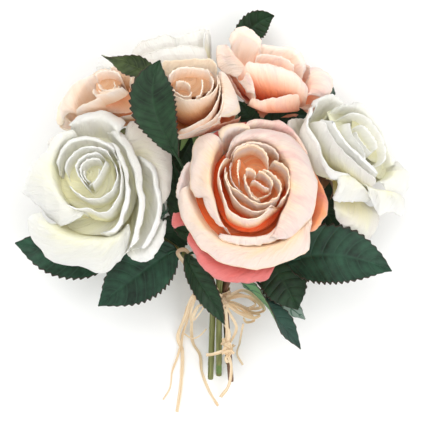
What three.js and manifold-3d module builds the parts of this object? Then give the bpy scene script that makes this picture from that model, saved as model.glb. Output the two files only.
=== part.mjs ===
// A hand-tied bunch of seven garden roses, lying on its back.
// Millimetres. +Z is up, away from the surface the bunch lies on; the stems point along -Y and
// the blooms face up and out.
import * as THREE from "three";
import { mergeVertices } from "three/addons/utils/BufferGeometryUtils.js";
import Module from "manifold-3d";

const wasm = await Module();
wasm.setup();

// ---------- driving dimensions ----------
const PETAL_THICK = 0.8;
const LEAF_THICK = 0.7;
const RAFFIA_THICK = 0.8;
const STEM_RADIUS = 2.0;
const SEAT_GAP = 0.3; // clear space between a piece and what carries it
const TIE = new THREE.Vector3(4, -55, 30); // middle of the bundle where it is tied
const BUNDLE_AXIS = new THREE.Vector3(0, 0.925, 0.38).normalize(); // along the tied stems, to the heads
const STEM_PITCH = 4.4; // centre to centre of two stems in the tie

const radians = THREE.MathUtils.degToRad;
const smooth = (x) => THREE.MathUtils.smoothstep(x, 0, 1);
const vector = (p) => new THREE.Vector3(...p);

// The same number for the same three numbers, every time.
function between(seed, i, k, low, high) {
  const wave = Math.sin(seed * 78.233 + i * 12.9898 + k * 37.719) * 43758.5453;
  return low + (high - low) * (wave - Math.floor(wave));
}

// ---------- solids ----------
function solidOf(geometry) {
  const bare = geometry.index ? geometry.toNonIndexed() : geometry.clone();
  bare.deleteAttribute("normal");
  bare.deleteAttribute("uv");
  const merged = mergeVertices(bare, 1e-4);
  return new wasm.Manifold(
    new wasm.Mesh({
      numProp: 3,
      vertProperties: merged.attributes.position.array,
      triVerts: new Uint32Array(merged.index.array),
    }),
  );
}

// A solid's mesh with its corners on a fine grid, or null if two corners that met there leave an edge
// that isn't shared by exactly two triangles.
function griddedMesh(solid, grid = 1e-3) {
  const mesh = solid.getMesh();
  const corners = new Map();
  const positions = [];
  const corner = (i) => {
    const at = [0, 1, 2].map((k) => Math.round(mesh.vertProperties[i * mesh.numProp + k] / grid));
    const key = at.join();
    if (!corners.has(key)) {
      corners.set(key, corners.size);
      positions.push(...at.map((x) => x * grid));
    }
    return corners.get(key);
  };
  const index = [];
  const edges = new Set();
  for (let i = 0; i < mesh.triVerts.length; i += 3) {
    const [a, b, c] = [0, 1, 2].map((k) => corner(mesh.triVerts[i + k]));
    if (a === b || b === c || c === a) continue;
    index.push(a, b, c);
    for (const edge of [`${a} ${b}`, `${b} ${c}`, `${c} ${a}`]) {
      if (edges.has(edge)) return null;
      edges.add(edge);
    }
  }
  for (const edge of edges) if (!edges.has(edge.split(" ").reverse().join(" "))) return null;
  return new THREE.BufferGeometry()
    .setAttribute("position", new THREE.Float32BufferAttribute(positions, 3))
    .setIndex(index);
}

// Joins closed geometries into one body above the surface; a scrap that hangs loose from the
// largest body is dropped.
function fused(geometries) {
  const joined = geometries.map(solidOf).reduce((a, b) => a.add(b));
  const above = joined.trimByPlane([0, 0, 1], 0);
  const bodies = above.decompose().sort((a, b) => b.volume() - a.volume());
  const whole = bodies[0].asOriginal();
  for (const tolerance of [0.1, 0.12, 0.14, 0.08, 0.06, 0.04, 0.02, 0.01]) {
    const geometry = griddedMesh(whole.simplify(tolerance));
    if (geometry) return geometry;
  }
  throw new Error("the pieces didn't join into a closed mesh");
}

// A sheet from a box with s across (-1 to 1) and t along (0 to 1): every corner goes to
// surface(s, t), half the thickness to either side.
function sheet(across, along, thick, surface) {
  const box = new THREE.BoxGeometry(2, 1, 1, across, along, 1);
  const place = box.attributes.position;
  const step = 1e-3;
  for (let i = 0; i < place.count; i++) {
    const s = place.getX(i);
    const t = place.getY(i) + 0.5;
    const middle = surface(s, t);
    const alongS = surface(s + step, t).sub(surface(s - step, t));
    const alongT = surface(s, t + step).sub(surface(s, t - step));
    const normal = alongS.cross(alongT).normalize();
    middle.addScaledVector(normal, place.getZ(i) * thick);
    place.setXYZ(i, middle.x, middle.y, middle.z);
  }
  return box;
}

// A round rod with its own radius at each of its points, closed at both ends.
function rod(points, radii, sides) {
  const rings = points.length;
  const barrel = new THREE.CylinderGeometry(1, 1, 1, sides, rings - 1, false);
  const along = points.map((p, i) => {
    const ahead = points[Math.min(i + 1, rings - 1)].clone();
    return ahead.sub(points[Math.max(i - 1, 0)]).normalize();
  });
  let side = Math.abs(along[0].z) < 0.9 ? new THREE.Vector3(0, 0, 1) : new THREE.Vector3(1, 0, 0);
  const frames = along.map((direction) => {
    side = side.clone().addScaledVector(direction, -side.dot(direction)).normalize();
    return [side, direction.clone().cross(side)];
  });
  const place = barrel.attributes.position;
  for (let i = 0; i < place.count; i++) {
    const ring = Math.round((place.getY(i) + 0.5) * (rings - 1));
    const [u, v] = frames[ring];
    const p = points[ring].clone();
    p.addScaledVector(v, place.getX(i) * radii[ring]);
    p.addScaledVector(u, place.getZ(i) * radii[ring]);
    place.setXYZ(i, p.x, p.y, p.z);
  }
  return barrel;
}

// ---------- petals ----------
// Five forms of petal, from the heart of a bloom (place 0) to its outermost whorl (place 1), on a
// bloom of size 1. lean: how far the petal's line leans out from the bloom's axis at four points from
// foot to rim, in degrees. wide: half its width. wrap: how closely it follows the bloom's round.
// curl: how far its sides roll back, in degrees. drop: how far its corners fall below its tip.
const PETAL_FORMS = [
  { foot: 0.8, long: 26, lean: [30, 2, -8, -14], wide: 9, wrap: 1.0, curl: 0, drop: 0.08 },
  { foot: 1.8, long: 31, lean: [48, 8, -8, -4], wide: 14, wrap: 1.0, curl: 6, drop: 0.12 },
  { foot: 2.8, long: 37, lean: [70, 24, -8, 26], wide: 24, wrap: 0.95, curl: 20, drop: 0.18 },
  { foot: 4.0, long: 46, lean: [82, 46, 8, 84], wide: 32, wrap: 0.85, curl: 40, drop: 0.24 },
  { foot: 4.8, long: 53, lean: [86, 68, 38, 120], wide: 37, wrap: 0.72, curl: 55, drop: 0.28 },
];
const PETAL_STEP = 11; // how much higher the heart petals are set than the outermost ones
const PETAL_ROUND = 1.05; // the most a petal goes round the axis to either side, in radians

function petalForm(place) {
  const at = Math.min(place, 0.9999) * (PETAL_FORMS.length - 1);
  const [low, high] = [PETAL_FORMS[Math.floor(at)], PETAL_FORMS[Math.floor(at) + 1]];
  const mixed = (a, b) => THREE.MathUtils.lerp(a, b, at % 1);
  const form = { lean: low.lean.map((a, i) => mixed(a, high.lean[i])) };
  for (const key of ["foot", "long", "wide", "wrap", "curl", "drop"])
    form[key] = mixed(low[key], high[key]);
  return form;
}

// The petal's own line, foot to rim, as distance from the bloom's axis, height and lean.
function petalLine(form, steps = 40) {
  const line = [{ out: form.foot, up: 0, lean: radians(form.lean[0]) }];
  for (let i = 1; i <= steps + 4; i++) {
    const t = (i - 0.5) / steps;
    const u = 1 - t;
    const [a, b, c, d] = form.lean;
    const lean = radians(a * u * u * u + 3 * b * t * u * u + 3 * c * t * t * u + d * t * t * t);
    const last = line[i - 1];
    const run = form.long / steps;
    line.push({ out: last.out + run * Math.sin(lean), up: last.up + run * Math.cos(lean), lean });
  }
  return (t) => {
    const at = Math.max(t, 0) * steps;
    const i = Math.min(Math.floor(at), steps + 3);
    const mix = (key) => line[i][key] + (line[i + 1][key] - line[i][key]) * (at - i);
    return { out: mix("out"), up: mix("up"), lean: mix("lean") };
  };
}

// Where two neighbouring blooms meet, their petals press flat against each other. Each row is the
// bloom on the near side, the bloom on the far side, a point between them, and the way across.
const MEETINGS = [
  ["blush_front", "white_left", [-27, 5, 80], [-0.98, 0, -0.2]],
  ["blush_front", "white_right", [66, 20, 76], [0.72, 0.35, -0.6]],
  ["blush_front", "peach_top", [30, 62, 76], [0, 0.8, -0.6]],
  ["blush_front", "peach_middle", [0, 54, 76], [-0.3, 0.85, -0.4]],
  ["white_left", "peach_left", [-66, 60, 70], [0.1, 0.8, -0.6]],
  ["white_right", "peach_top", [64, 78, 60], [-0.65, 0.75, 0.1]],
  ["peach_middle", "peach_top", [13, 80, 72], [0.85, 0.3, -0.45]],
  ["peach_middle", "white_back", [-18, 92, 62], [-0.1, 0.55, -0.83]],
  ["peach_left", "peach_middle", [-39, 70, 75], [0.95, 0, 0.1]],
  ["peach_left", "white_back", [-58, 88, 60], [0.5, 0.5, -0.7]],
  ["peach_top", "white_back", [2, 92, 46], [-0.95, 0.0, -0.25]],
];
const PRESS_DEPTH = 7; // how far from the meeting the petals begin to bend
const PRESS_CLEAR = 0.6; // how far from it their middle layer stays

// Bends a point of a bloom clear of its neighbours.
function pressed(name, point) {
  for (const [near, far, middle, across] of MEETINGS) {
    if (name !== near && name !== far) continue;
    const way = vector(across).normalize().multiplyScalar(name === near ? 1 : -1);
    const past = point.clone().sub(vector(middle)).dot(way) + PRESS_DEPTH;
    if (past <= 0) continue;
    const room = PRESS_DEPTH - PRESS_CLEAR;
    point.addScaledVector(way, room * Math.tanh(past / room) - past);
  }
  return point;
}

// The petal's surface in the bloom's own frame: +Z out of its mouth, foot at the origin.
function petalSurface({ form, turn, wave, lift }) {
  const line = petalLine(form);
  const [cosTurn, sinTurn] = [Math.cos(turn), Math.sin(turn)];
  const steps = 8;
  return (s, t) => {
    const far = Math.abs(s);
    const { out, up, lean } = line(t * (1 - form.drop * far ** 2.6));
    const spread = form.wide * (0.3 + 0.7 * Math.sin(Math.min(1, t / 0.62) * Math.PI * 0.5));
    const half = Math.min(spread, PETAL_ROUND * out);
    const bend = (form.wrap * Math.cos(lean) * half) / Math.max(out, 1.5);
    let [aside, rise] = [0, 0];
    for (let i = 0; i < steps; i++) {
      const at = (far * (i + 0.5)) / steps;
      const rolled = radians(form.curl) * smooth((at - 0.45) / 0.55) * smooth(t / 0.7);
      const angle = bend * at - rolled;
      aside += (Math.cos(angle) * half * far) / steps;
      rise += (Math.sin(angle) * half * far) / steps;
    }
    const edge = smooth((Math.max(t, far * t) - 0.45) / 0.55);
    rise += wave.deep * edge * Math.sin(wave.turns * s * Math.PI + wave.phase);
    const radial = out - rise * Math.cos(lean) + wave.skew * s;
    const side = aside * Math.sign(s);
    return new THREE.Vector3(
      radial * cosTurn - side * sinTurn,
      radial * sinTurn + side * cosTurn,
      up + rise * Math.sin(lean) + lift,
    );
  };
}

// Each petal of a bloom, heart first. A row is its turn round the axis in degrees, its place in
// PETAL_FORMS, then optionally its length and width against the form's, and how much further out
// its rim leans, in degrees.
function petalsOf(bloom) {
  const { seed, size, rows } = bloom;
  return rows.map(([turn, place, long = 1, wide = 1, tilt = 0], i) => {
    const form = petalForm(place);
    form.lean = form.lean.map((a, k) => a + (tilt * k) / 3);
    form.long *= size * long;
    form.wide *= size * wide;
    form.foot *= size;
    const wave = {
      deep: between(seed, i, 4, 0.4, 1.4) * size * place,
      turns: between(seed, i, 5, 1.2, 2.2),
      phase: between(seed, i, 6, 0, 6.28),
      skew: between(seed, i, 7, 0.6, 1.4) * size,
    };
    return { form, turn: radians(turn), wave, lift: PETAL_STEP * size * (1 - place), place };
  });
}

function bloomGeometry(name, bloom) {
  const upright = new THREE.Vector3(0, 0, 1);
  const turn = new THREE.Quaternion().setFromUnitVectors(upright, vector(bloom.facing).normalize());
  const foot = vector(bloom.foot);
  const placed = (p) => p.applyQuaternion(turn).add(foot);
  const petals = petalsOf(bloom).map((petal) => {
    const across = [2, 3, 4][Number(petal.place > 0.25) + Number(petal.place > 0.6)];
    const own = petalSurface(petal);
    return sheet(across, 3, PETAL_THICK, (s, t) => pressed(name, placed(own(s, t))));
  });
  const core = [
    [0, -2.2],
    [5.4, -2.2],
    [6.6, -0.6],
    [6.2, 1.6],
    [3.6, 9],
    [2.4, 24],
    [0, 27],
  ].map(([x, y]) => new THREE.Vector2(x, y).multiplyScalar(bloom.size));
  const middle = new THREE.LatheGeometry(core, 8).rotateX(Math.PI / 2);
  return fused([middle.applyQuaternion(turn).translate(...bloom.foot), ...petals]);
}

// ---------- blooms ----------
// foot: where the petals meet the stem. facing: out of the bloom's mouth. size: 1 is about 100 mm
// across.
const BLUSH_FRONT = {
  foot: [25.5, 5, 70], facing: [0.03, 0.38, 0.92], size: 1.06, seed: 3, color: 0xf3b9a2,
  rows: [
    [20, 0.0], [190, 0.08], [320, 0.16], [95, 0.22], [215, 0.29], [40, 0.34],
    [235, 0.42], [125, 0.44], [15, 0.46], [255, 0.49], [170, 0.51],
    [60, 0.68, 1, 1.1], [172, 0.72, 1, 1.1], [335, 0.75, 1, 1.1], [262, 0.76, 0.95],
    [118, 0.84, 0.9], [30, 0.88, 0.95, 1.1], [255, 0.96, 1, 1.25], [180, 0.92],
    [345, 0.92, 0.96, 1, -30], [205, 0.99, 1.02, 0.7, 0], [272, 1, 1.05, 0.95, -10],
  ],
};
const WHITE_LEFT = {
  foot: [-70, 8, 60], facing: [-0.2, 0.42, 0.88], size: 1.04, seed: 5, color: 0xf2f0e4,
  rows: [
    [60, 0.0], [200, 0.08], [320, 0.16], [80, 0.24], [210, 0.31], [340, 0.38],
    [110, 0.44], [245, 0.5], [10, 0.55], [140, 0.62], [280, 0.67], [55, 0.72],
    [195, 0.78], [325, 0.83], [95, 0.87], [235, 0.92], [160, 0.96], [290, 0.98, 1, 1.1], [20, 1, 1, 0.8],
  ],
};
const WHITE_RIGHT = {
  foot: [78, 27, 50], facing: [0.66, 0.34, 0.67], size: 1.02, seed: 7, color: 0xf0efe2,
  rows: [
    [20, 0.0], [170, 0.09], [300, 0.18], [60, 0.26], [190, 0.34], [320, 0.42],
    [90, 0.48], [225, 0.54], [350, 0.61], [120, 0.68], [255, 0.74], [30, 0.79],
    [165, 0.84], [295, 0.88], [75, 0.92], [210, 0.96], [330, 0.98, 1, 0.9],
  ],
};
const PEACH_TOP = {
  foot: [31, 75, 48], facing: [0.2, 0.87, 0.45], size: 0.94, seed: 11, color: 0xf6c4aa,
  rows: [
    [40, 0.0], [180, 0.1], [310, 0.2], [70, 0.29], [200, 0.37], [330, 0.45],
    [100, 0.53], [235, 0.61], [8, 0.68], [275, 0.76, 1, 1.15], [140, 0.78], [52, 0.83],
    [200, 0.88], [320, 0.9],
  ],
};
const PEACH_MIDDLE = {
  foot: [-12.5, 60, 60], facing: [0.0, 0.62, 0.78], size: 1.04, seed: 13, color: 0xf2c9a6,
  rows: [
    [60, 0.0], [190, 0.1], [310, 0.2], [80, 0.28], [205, 0.36],
    [330, 0.43], [100, 0.48], [265, 0.55, 1.05, 1.15], [20, 0.6], [160, 0.62],
  ],
};
const PEACH_LEFT = {
  foot: [-56, 52, 56], facing: [-0.36, 0.62, 0.7], size: 1.02, seed: 17, color: 0xeecbb0,
  rows: [
    [90, 0.0], [220, 0.1], [340, 0.2], [110, 0.28], [235, 0.36],
    [0, 0.43], [130, 0.48], [280, 0.54, 1, 1.1], [50, 0.58], [190, 0.62],
  ],
};
const WHITE_BACK = {
  foot: [-29, 83.5, 36.5], facing: [-0.08, 0.98, 0.04], size: 0.94, seed: 19, color: 0xefeee6,
  rows: [
    [30, 0.0], [165, 0.1], [295, 0.2], [70, 0.3], [200, 0.4], [325, 0.48],
    [100, 0.55], [230, 0.62], [0, 0.68], [135, 0.74], [265, 0.8], [40, 0.85],
    [175, 0.89], [310, 0.92], [90, 0.95],
  ],
};

// ---------- stems ----------
// Which place in the tied bundle each stem takes (degrees round it, or the middle), how far its
// cut end lies beyond the tie, and how far it splays out there.
const STEMS = {
  blush_front: { bloom: BLUSH_FRONT, round: 90, beyond: 48, splay: 1.5, color: 0x5f5a2c },
  white_left: { bloom: WHITE_LEFT, round: 150, beyond: 60, splay: 2.2, color: 0x7a7c48 },
  white_right: { bloom: WHITE_RIGHT, round: 30, beyond: 61, splay: 5.0, color: 0x6b4638 },
  peach_top: { bloom: PEACH_TOP, round: 330, beyond: 52, splay: 3.0, color: 0x5d6a38 },
  peach_middle: { bloom: PEACH_MIDDLE, round: null, beyond: 57, splay: 0, color: 0x6f8a4a },
  peach_left: { bloom: PEACH_LEFT, round: 210, beyond: 54, splay: 2.0, twist: -0.16, sepal: 0.8, color: 0x5f6b3a },
  white_back: { bloom: WHITE_BACK, round: 270, beyond: 62, splay: 1.5, color: 0x67703f },
};
const BUNDLE_SIDE = new THREE.Vector3(1, 0, 0);
const BUNDLE_UP = BUNDLE_SIDE.clone().cross(BUNDLE_AXIS).normalize();

// The stem's middle line: from under its bloom, through the tie, to its cut end.
function stemLine({ bloom, round, beyond, splay }) {
  const facing = vector(bloom.facing).normalize();
  const outward = new THREE.Vector3();
  if (round !== null)
    outward
      .addScaledVector(BUNDLE_SIDE, Math.cos(radians(round)))
      .addScaledVector(BUNDLE_UP, Math.sin(radians(round)));
  const top = vector(bloom.foot).addScaledVector(facing, -2.2 * bloom.size - SEAT_GAP);
  const tied = TIE.clone().addScaledVector(outward, STEM_PITCH);
  const cut = tied.clone().addScaledVector(BUNDLE_AXIS, -beyond).addScaledVector(outward, splay);
  const run = top.distanceTo(tied);
  const above = tied.clone().addScaledVector(BUNDLE_AXIS, 6);
  const upper = new THREE.CubicBezierCurve3(
    top,
    top.clone().addScaledVector(facing, -0.2 * run),
    above.clone().addScaledVector(BUNDLE_AXIS, 0.3 * run).addScaledVector(outward, 0.1 * run),
    above,
  );
  return { facing, upper, tied, cut };
}

function stemGeometry(name, stem) {
  const { facing, upper, tied, cut } = stemLine(stem);
  const { twist = 0.4, sepal = 1 } = stem;
  const top = upper.getPoint(0);
  const below = (distance) => top.clone().addScaledVector(facing, -distance);
  const points = [top, below(2.2), below(5), below(8.5)];
  const radii = [5.0, 5.6, 4.4, 2.5];
  for (const t of [0.2, 0.35, 0.5, 0.65, 0.8]) {
    points.push(upper.getPoint(t));
    radii.push(STEM_RADIUS);
  }
  points.push(upper.getPoint(1), tied, cut);
  radii.push(STEM_RADIUS, STEM_RADIUS, STEM_RADIUS * 0.96);
  const upright = new THREE.Vector3(0, 0, 1);
  const turn = new THREE.Quaternion().setFromUnitVectors(upright, facing);
  const sepals = Array.from({ length: 5 }, (_, i) => {
    const angle = (i * Math.PI * 2) / 5 + twist;
    const outward = new THREE.Vector3(Math.cos(angle), Math.sin(angle), 0);
    const across = new THREE.Vector3(-Math.sin(angle), Math.cos(angle), 0);
    return sheet(1, 2, 0.8, (s, t) => {
      const out = 3 + sepal * (17 * t - 4 * t * t);
      const down = 2.2 + sepal * (1.5 * t + 9 * t * t);
      const half = 3.2 * Math.max(1 - t, 0) ** 0.7 + 0.35;
      const p = outward.clone().multiplyScalar(out).addScaledVector(across, half * s);
      return pressed(name, p.setZ(-down).applyQuaternion(turn).add(top));
    });
  });
  return fused([rod(points, radii, 7), ...sepals]);
}

// ---------- leaves ----------
// stem: what carries it, and at how far down from the bloom (0) to the tie (1), or from: the leaf
// whose midrib it springs from. rib: its midrib from
// base to tip. face: the way its upper side faces at base and tip. half: half its width. fold: how
// far each side is raised from the midrib, in degrees. teeth: on each side.
const LEAVES = {
  front_high: { stem: "peach_middle", at: 0.52, rib: [[-22.3, 35.1, 78], [-31.9, 52.0, 99], [-44.7, 71.4, 108], [-33.2, 95.7, 100]], face: [[-0.35, -0.3, 0.9], [0.0, 0.0, 0.98]], half: 15, fold: 14, teeth: 6 },
  narrow_high: { from: "front_high", at: 0.5, rib: [[-33.2, 83.3, 99], [-40.7, 95.7, 100], [-55.9, 97.9, 96], [-70.2, 99.9, 88]], face: [[0.1, 0.75, 0.65], [0.2, -0.9, 0.3]], half: 9, fold: 20, teeth: 6 },
  top: { stem: "white_back", at: 0.28, rib: [[15.5, 109.7, 13], [23.5, 124.3, 15], [32.8, 131.3, 18], [40.7, 131.6, 22]], face: [[0.1, -0.3, 0.95], [-0.3, -0.3, 0.9]], half: 10, fold: 10, teeth: 6 },
  right_high: { stem: "peach_top", at: 0.4, rib: [[70.8, 64.2, 34], [76.6, 72.0, 36], [79.9, 79.9, 36], [75.4, 90.6, 34]], face: [[0.9, 0.3, 0.1], [0.9, 0.1, 0.2]], half: 9, fold: 12, teeth: 5 },
  between_right: { stem: "blush_front", at: 0.36, rib: [[31.9, 55.3, 54], [42.2, 62.4, 55], [52.6, 65.7, 55], [62.4, 63.1, 55]], face: [[0.0, -0.2, 0.95], [0.2, -0.2, 0.95]], half: 8, fold: 10, teeth: 5 },
  between_left: { stem: "blush_front", at: 0.4, rib: [[28.6, 55.3, 53], [24.6, 60.9, 58.5], [20.7, 66.6, 61.5], [16.2, 72.4, 61]], face: [[0, -0.2, 0.95], [-0.3, -0.2, 0.95]], half: 6.5, fold: 10, teeth: 5 },
  centre_left: { stem: "peach_middle", at: 0.53, rib: [[-16.2, -17.7, 47.5], [-18.9, -5.9, 49.3], [-22.8, 11.7, 51], [-26.7, 34.5, 53]], face: [[0.1, 0, 0.98], [-0.3, 0, 0.95]], half: 9, fold: 12, teeth: 6 },
  left_low: { stem: "white_left", at: 0.45, rib: [[-69.3, -32.4, 36], [-87.7, -29.0, 38], [-110.7, -24.4, 38], [-131.0, -19.8, 34]], face: [[0.1, 0.1, 0.95], [-0.3, 0.1, 0.9]], half: 17, fold: 10, teeth: 7 },
  left_front: { stem: "white_left", at: 0.66, rib: [[-24.2, -22.9, 48], [-39.9, -33.4, 46], [-57.8, -46.6, 43], [-75.9, -61.4, 36]], face: [[0.0, 0.1, 0.98], [-0.15, 0.0, 0.98]], half: 19.5, fold: 8, teeth: 8 },
  centre_twisted: { stem: "peach_middle", at: 0.8, rib: [[-17.5, -26.6, 56], [-13.6, -42.1, 58], [-3.2, -57.9, 55], [7.2, -73.2, 48]], face: [[0.5, 0.3, 0.8], [-0.55, 0.1, 0.8]], half: 12, fold: 20, teeth: 7 },
  right_large: { stem: "white_right", at: 0.6, rib: [[49.3, -32.2, 42], [71.0, -22.8, 52], [95.9, -28.1, 50], [117.6, -38.1, 42]], face: [[0.1, 0.2, 0.95], [0.3, 0.1, 0.9]], half: 21, fold: 12, teeth: 8 },
  right_dark: { stem: "white_right", at: 0.73, rib: [[37.6, -30.4, 36], [44.1, -40.8, 40], [50.6, -51.9, 41], [56.0, -63.9, 38]], face: [[-0.1, 0.1, 0.98], [0.1, 0.0, 0.98]], half: 16, fold: 10, teeth: 6 },
  right_narrow: { stem: "blush_front", at: 0.75, rib: [[19.6, -45.7, 48.5], [32.0, -55.5, 49], [45.2, -71.4, 46], [57.9, -89.5, 40]], face: [[0.75, 0.2, -0.45], [0.5, 0.2, 0.8]], half: 12, fold: 14, teeth: 6 },
  right_under: { stem: "peach_top", at: 0.8, rib: [[32.4, -49.6, 34], [41.0, -55.5, 35], [50.9, -61.5, 34], [61.0, -70.3, 31]], face: [[-0.2, 0.5, -0.8], [-0.2, 0.5, -0.8]], half: 9, fold: 10, teeth: 5 },
  back_right: { stem: "white_right", at: 0.5, rib: [[32.9, -1.3, 16], [48.4, 0.7, 14], [68.9, 3.4, 8], [88.4, 5.4, 0]], face: [[0.1, 0.0, -0.98], [-0.1, 0.0, -0.98]], half: 17, fold: 8, teeth: 6 },
  back_left: { stem: "peach_left", at: 0.5, rib: [[-32.2, -1.3, 16], [-49.1, 3.4, 14], [-66.2, 8.8, 8], [-81.5, 11.5, 1.5]], face: [[0.1, 0.0, -0.98], [-0.1, 0.0, -0.98]], half: 17, fold: 8, teeth: 6 },
  back_high: { stem: "white_back", at: 0.3, rib: [[10.1, 32.3, 14], [18.1, 45.7, 14], [26.3, 61.3, 12], [33.1, 77.6, 9]], face: [[0.1, 0.0, -0.98], [-0.1, 0.0, -0.98]], half: 16, fold: 8, teeth: 6 },
};

const ribOf = (leaf) => new THREE.CubicBezierCurve3(...leaf.rib.map(vector));

function leafPieces(leaf) {
  const rib = ribOf(leaf);
  const [low, high] = leaf.face.map(vector);
  const surface = (s, t) => {
    const along = rib.getTangent(THREE.MathUtils.clamp(t, 0, 1));
    const face = low.clone().lerp(high, t);
    face.addScaledVector(along, -face.dot(along)).normalize();
    const side = along.clone().cross(face);
    const full = Math.sin(Math.PI * THREE.MathUtils.clamp(t, 0.004, 0.996) ** 0.85) ** 0.75;
    const tooth = 1 - 0.09 * Math.abs(((t * leaf.teeth) % 1) * 2 - 1);
    const half = leaf.half * full * tooth + 0.35;
    const raised = radians(leaf.fold) * Math.abs(s);
    return rib
      .getPoint(THREE.MathUtils.clamp(t, 0, 1))
      .addScaledVector(side, half * s * Math.cos(raised))
      .addScaledVector(face, half * Math.abs(s) * Math.sin(raised));
  };
  const blade = sheet(2, leaf.teeth * 2, LEAF_THICK, surface);
  const base = rib.getPoint(0.02);
  const path = leaf.from ? ribOf(LEAVES[leaf.from]) : stemLine(STEMS[leaf.stem]).upper;
  const [carrier, line] = [path.getPoint(leaf.at), path.getTangent(leaf.at)];
  const toward = base.clone().sub(carrier);
  const square = toward.clone().addScaledVector(line, -toward.dot(line)).normalize();
  const start = leaf.from ? carrier : carrier.addScaledVector(square, STEM_RADIUS + SEAT_GAP + 0.3);
  toward.normalize().add(square).normalize();
  const back = rib.getTangent(0).multiplyScalar(-0.3 * start.distanceTo(base));
  const petiole = new THREE.CubicBezierCurve3(
    start,
    start.clone().addScaledVector(toward, 0.3 * start.distanceTo(base)),
    base.clone().add(back),
    rib.getPoint(0.12),
  );
  return [blade, rod(petiole.getPoints(4), Array(5).fill(0.9), 5)];
}

// ---------- raffia ----------
// Flat strips: the points they pass through, their width, and the way their flat side faces.
const BOW = [
  { path: [[9, -56, 41], [19.5, -50.7, 45], [29, -56.5, 44], [33.5, -64, 39], [27, -66, 36], [17, -60.5, 38], [9.5, -58, 40]], wide: 3, face: [0.3, 0.6, 0.75] },
  { path: [[9, -53, 41], [20, -54.2, 42], [28, -60, 40], [22, -63.5, 36], [14, -61, 37], [9.5, -58, 39.5]], wide: 2.6, face: [0.3, 0.7, 0.65] },
  { path: [[10, -58, 39.5], [17, -65.5, 36], [25, -67.5, 33], [27, -71.5, 30], [22, -72.5, 31], [20, -69.5, 33]], wide: 2.4, face: [0.1, 0.4, 0.9] },
  { path: [[6, -55, 41], [-8, -46, 46], [-17, -34.5, 50], [-23, -25.5, 51], [-18.5, -24, 48], [-10, -34.5, 45], [3, -51, 40]], wide: 2.8, face: [0.4, -0.4, 0.8] },
];
const TAILS = {
  left_long: { path: [[1.8, -58.2, 41], [-6.6, -53.2, 42], [-12.5, -54.2, 36], [-18.1, -68.6, 16], [-23.7, -84.8, 3], [-21.0, -93.0, 1.6], [-21.7, -116.7, 1.6], [-24.4, -135.1, 1.6]], wide: 3.0, face: [0, 0.3, 0.95] },
  left_inner: { path: [[2.2, -61.2, 39], [-5.9, -60.4, 38], [-10.0, -62.4, 30], [-14.5, -75.7, 9], [-13.6, -88.2, 3], [-9, -96.3, 1.8], [-7.7, -107.4, 1.6], [-3.0, -120.1, 1.6], [3.4, -131.0, 1.6]], wide: 2.4, face: [0, 0.3, 0.95] },
  left_thin: { path: [[-25.1, -89.6, 2.0], [-28.8, -106.6, 1.6], [-33.9, -126.9, 1.6]], wide: 1.6, face: [0, 0, 1] },
  centre: { path: [[8.5, -62.8, 41.5], [9.3, -77.6, 34.5], [9.3, -91.4, 28.5], [12.1, -102.0, 21.5], [10.5, -116.0, 12], [5.0, -125.0, 1.6]], wide: 3.4, face: [0, 0.3, 0.95] },
  right_thin: { path: [[20, -73.5, 31.5], [19.0, -80.0, 22], [17.9, -87.7, 12], [16.5, -96.1, 3], [20.3, -103.1, 1.6]], wide: 1.6, face: [0, 0.3, 0.95] },
};

function strip({ path, wide, face }, pieces) {
  const curve = new THREE.CatmullRomCurve3(path.map(vector), false, "centripetal");
  const flat = vector(face);
  return sheet(1, pieces, RAFFIA_THICK, (s, t) => {
    const at = THREE.MathUtils.clamp(t, 0, 1);
    const along = curve.getTangentAt(at);
    const side = along.cross(flat).normalize();
    return curve.getPointAt(at).addScaledVector(side, (s * wide) / 2);
  });
}

function tieGeometry() {
  const clear = (STEM_PITCH + STEM_RADIUS + 2 * SEAT_GAP) / Math.cos(Math.PI / 12);
  const turns = [
    [0, -5.5], [1.1, -5.2], [0.7, -2.9], [1.4, -1.4], [0.8, 0.6], [1.4, 2.4], [0.9, 4.8], [0, 5.2],
    [0, -5.5],
  ].map(([deep, along]) => new THREE.Vector2(clear + deep, along));
  const upright = new THREE.Vector3(0, 1, 0);
  const turn = new THREE.Quaternion().setFromUnitVectors(upright, BUNDLE_AXIS);
  const wound = new THREE.LatheGeometry(turns, 12).applyQuaternion(turn).translate(...TIE);
  const knot = new THREE.SphereGeometry(1, 8, 6).scale(4.6, 4.2, 3.2);
  knot.applyQuaternion(turn).translate(...TIE.clone().addScaledVector(BUNDLE_UP, 9.5)).translate(3, 0, 0);
  return fused([wound, knot, ...BOW.map((loop) => strip(loop, 10))]);
}

// ---------- assembly ----------
const bunch = new THREE.Group();

function add(name, geometry, color, roughness) {
  const material = new THREE.MeshStandardMaterial({ color, roughness, metalness: 0 });
  const mesh = new THREE.Mesh(geometry, material);
  mesh.name = name;
  bunch.add(mesh);
}

for (const [name, stem] of Object.entries(STEMS)) {
  add(`bloom_${name}`, bloomGeometry(name, stem.bloom), stem.bloom.color, 0.75);
  add(`stem_${name}`, stemGeometry(name, stem), stem.color, 0.6);
}
for (const [name, leaf] of Object.entries(LEAVES)) {
  if (leaf.from) continue;
  const spray = Object.values(LEAVES).filter((other) => other === leaf || other.from === name);
  add(`leaf_${name}`, fused(spray.flatMap(leafPieces)), 0x2c4a36, 0.5);
}
add("raffia_bow", tieGeometry(), 0xe6d3a8, 0.7);
for (const [name, tail] of Object.entries(TAILS))
  add(`raffia_tail_${name}`, fused([strip(tail, 9)]), 0xe6d3a8, 0.7);

// The origin is the centre of the bunch's footprint, without the loose raffia tails.
const footprint = new THREE.Box3();
for (const mesh of bunch.children)
  if (!mesh.name.startsWith("raffia_tail")) footprint.expandByObject(mesh);
const middle = footprint.getCenter(new THREE.Vector3());
bunch.position.set(-middle.x, -middle.y, 0);

export default bunch;
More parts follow.
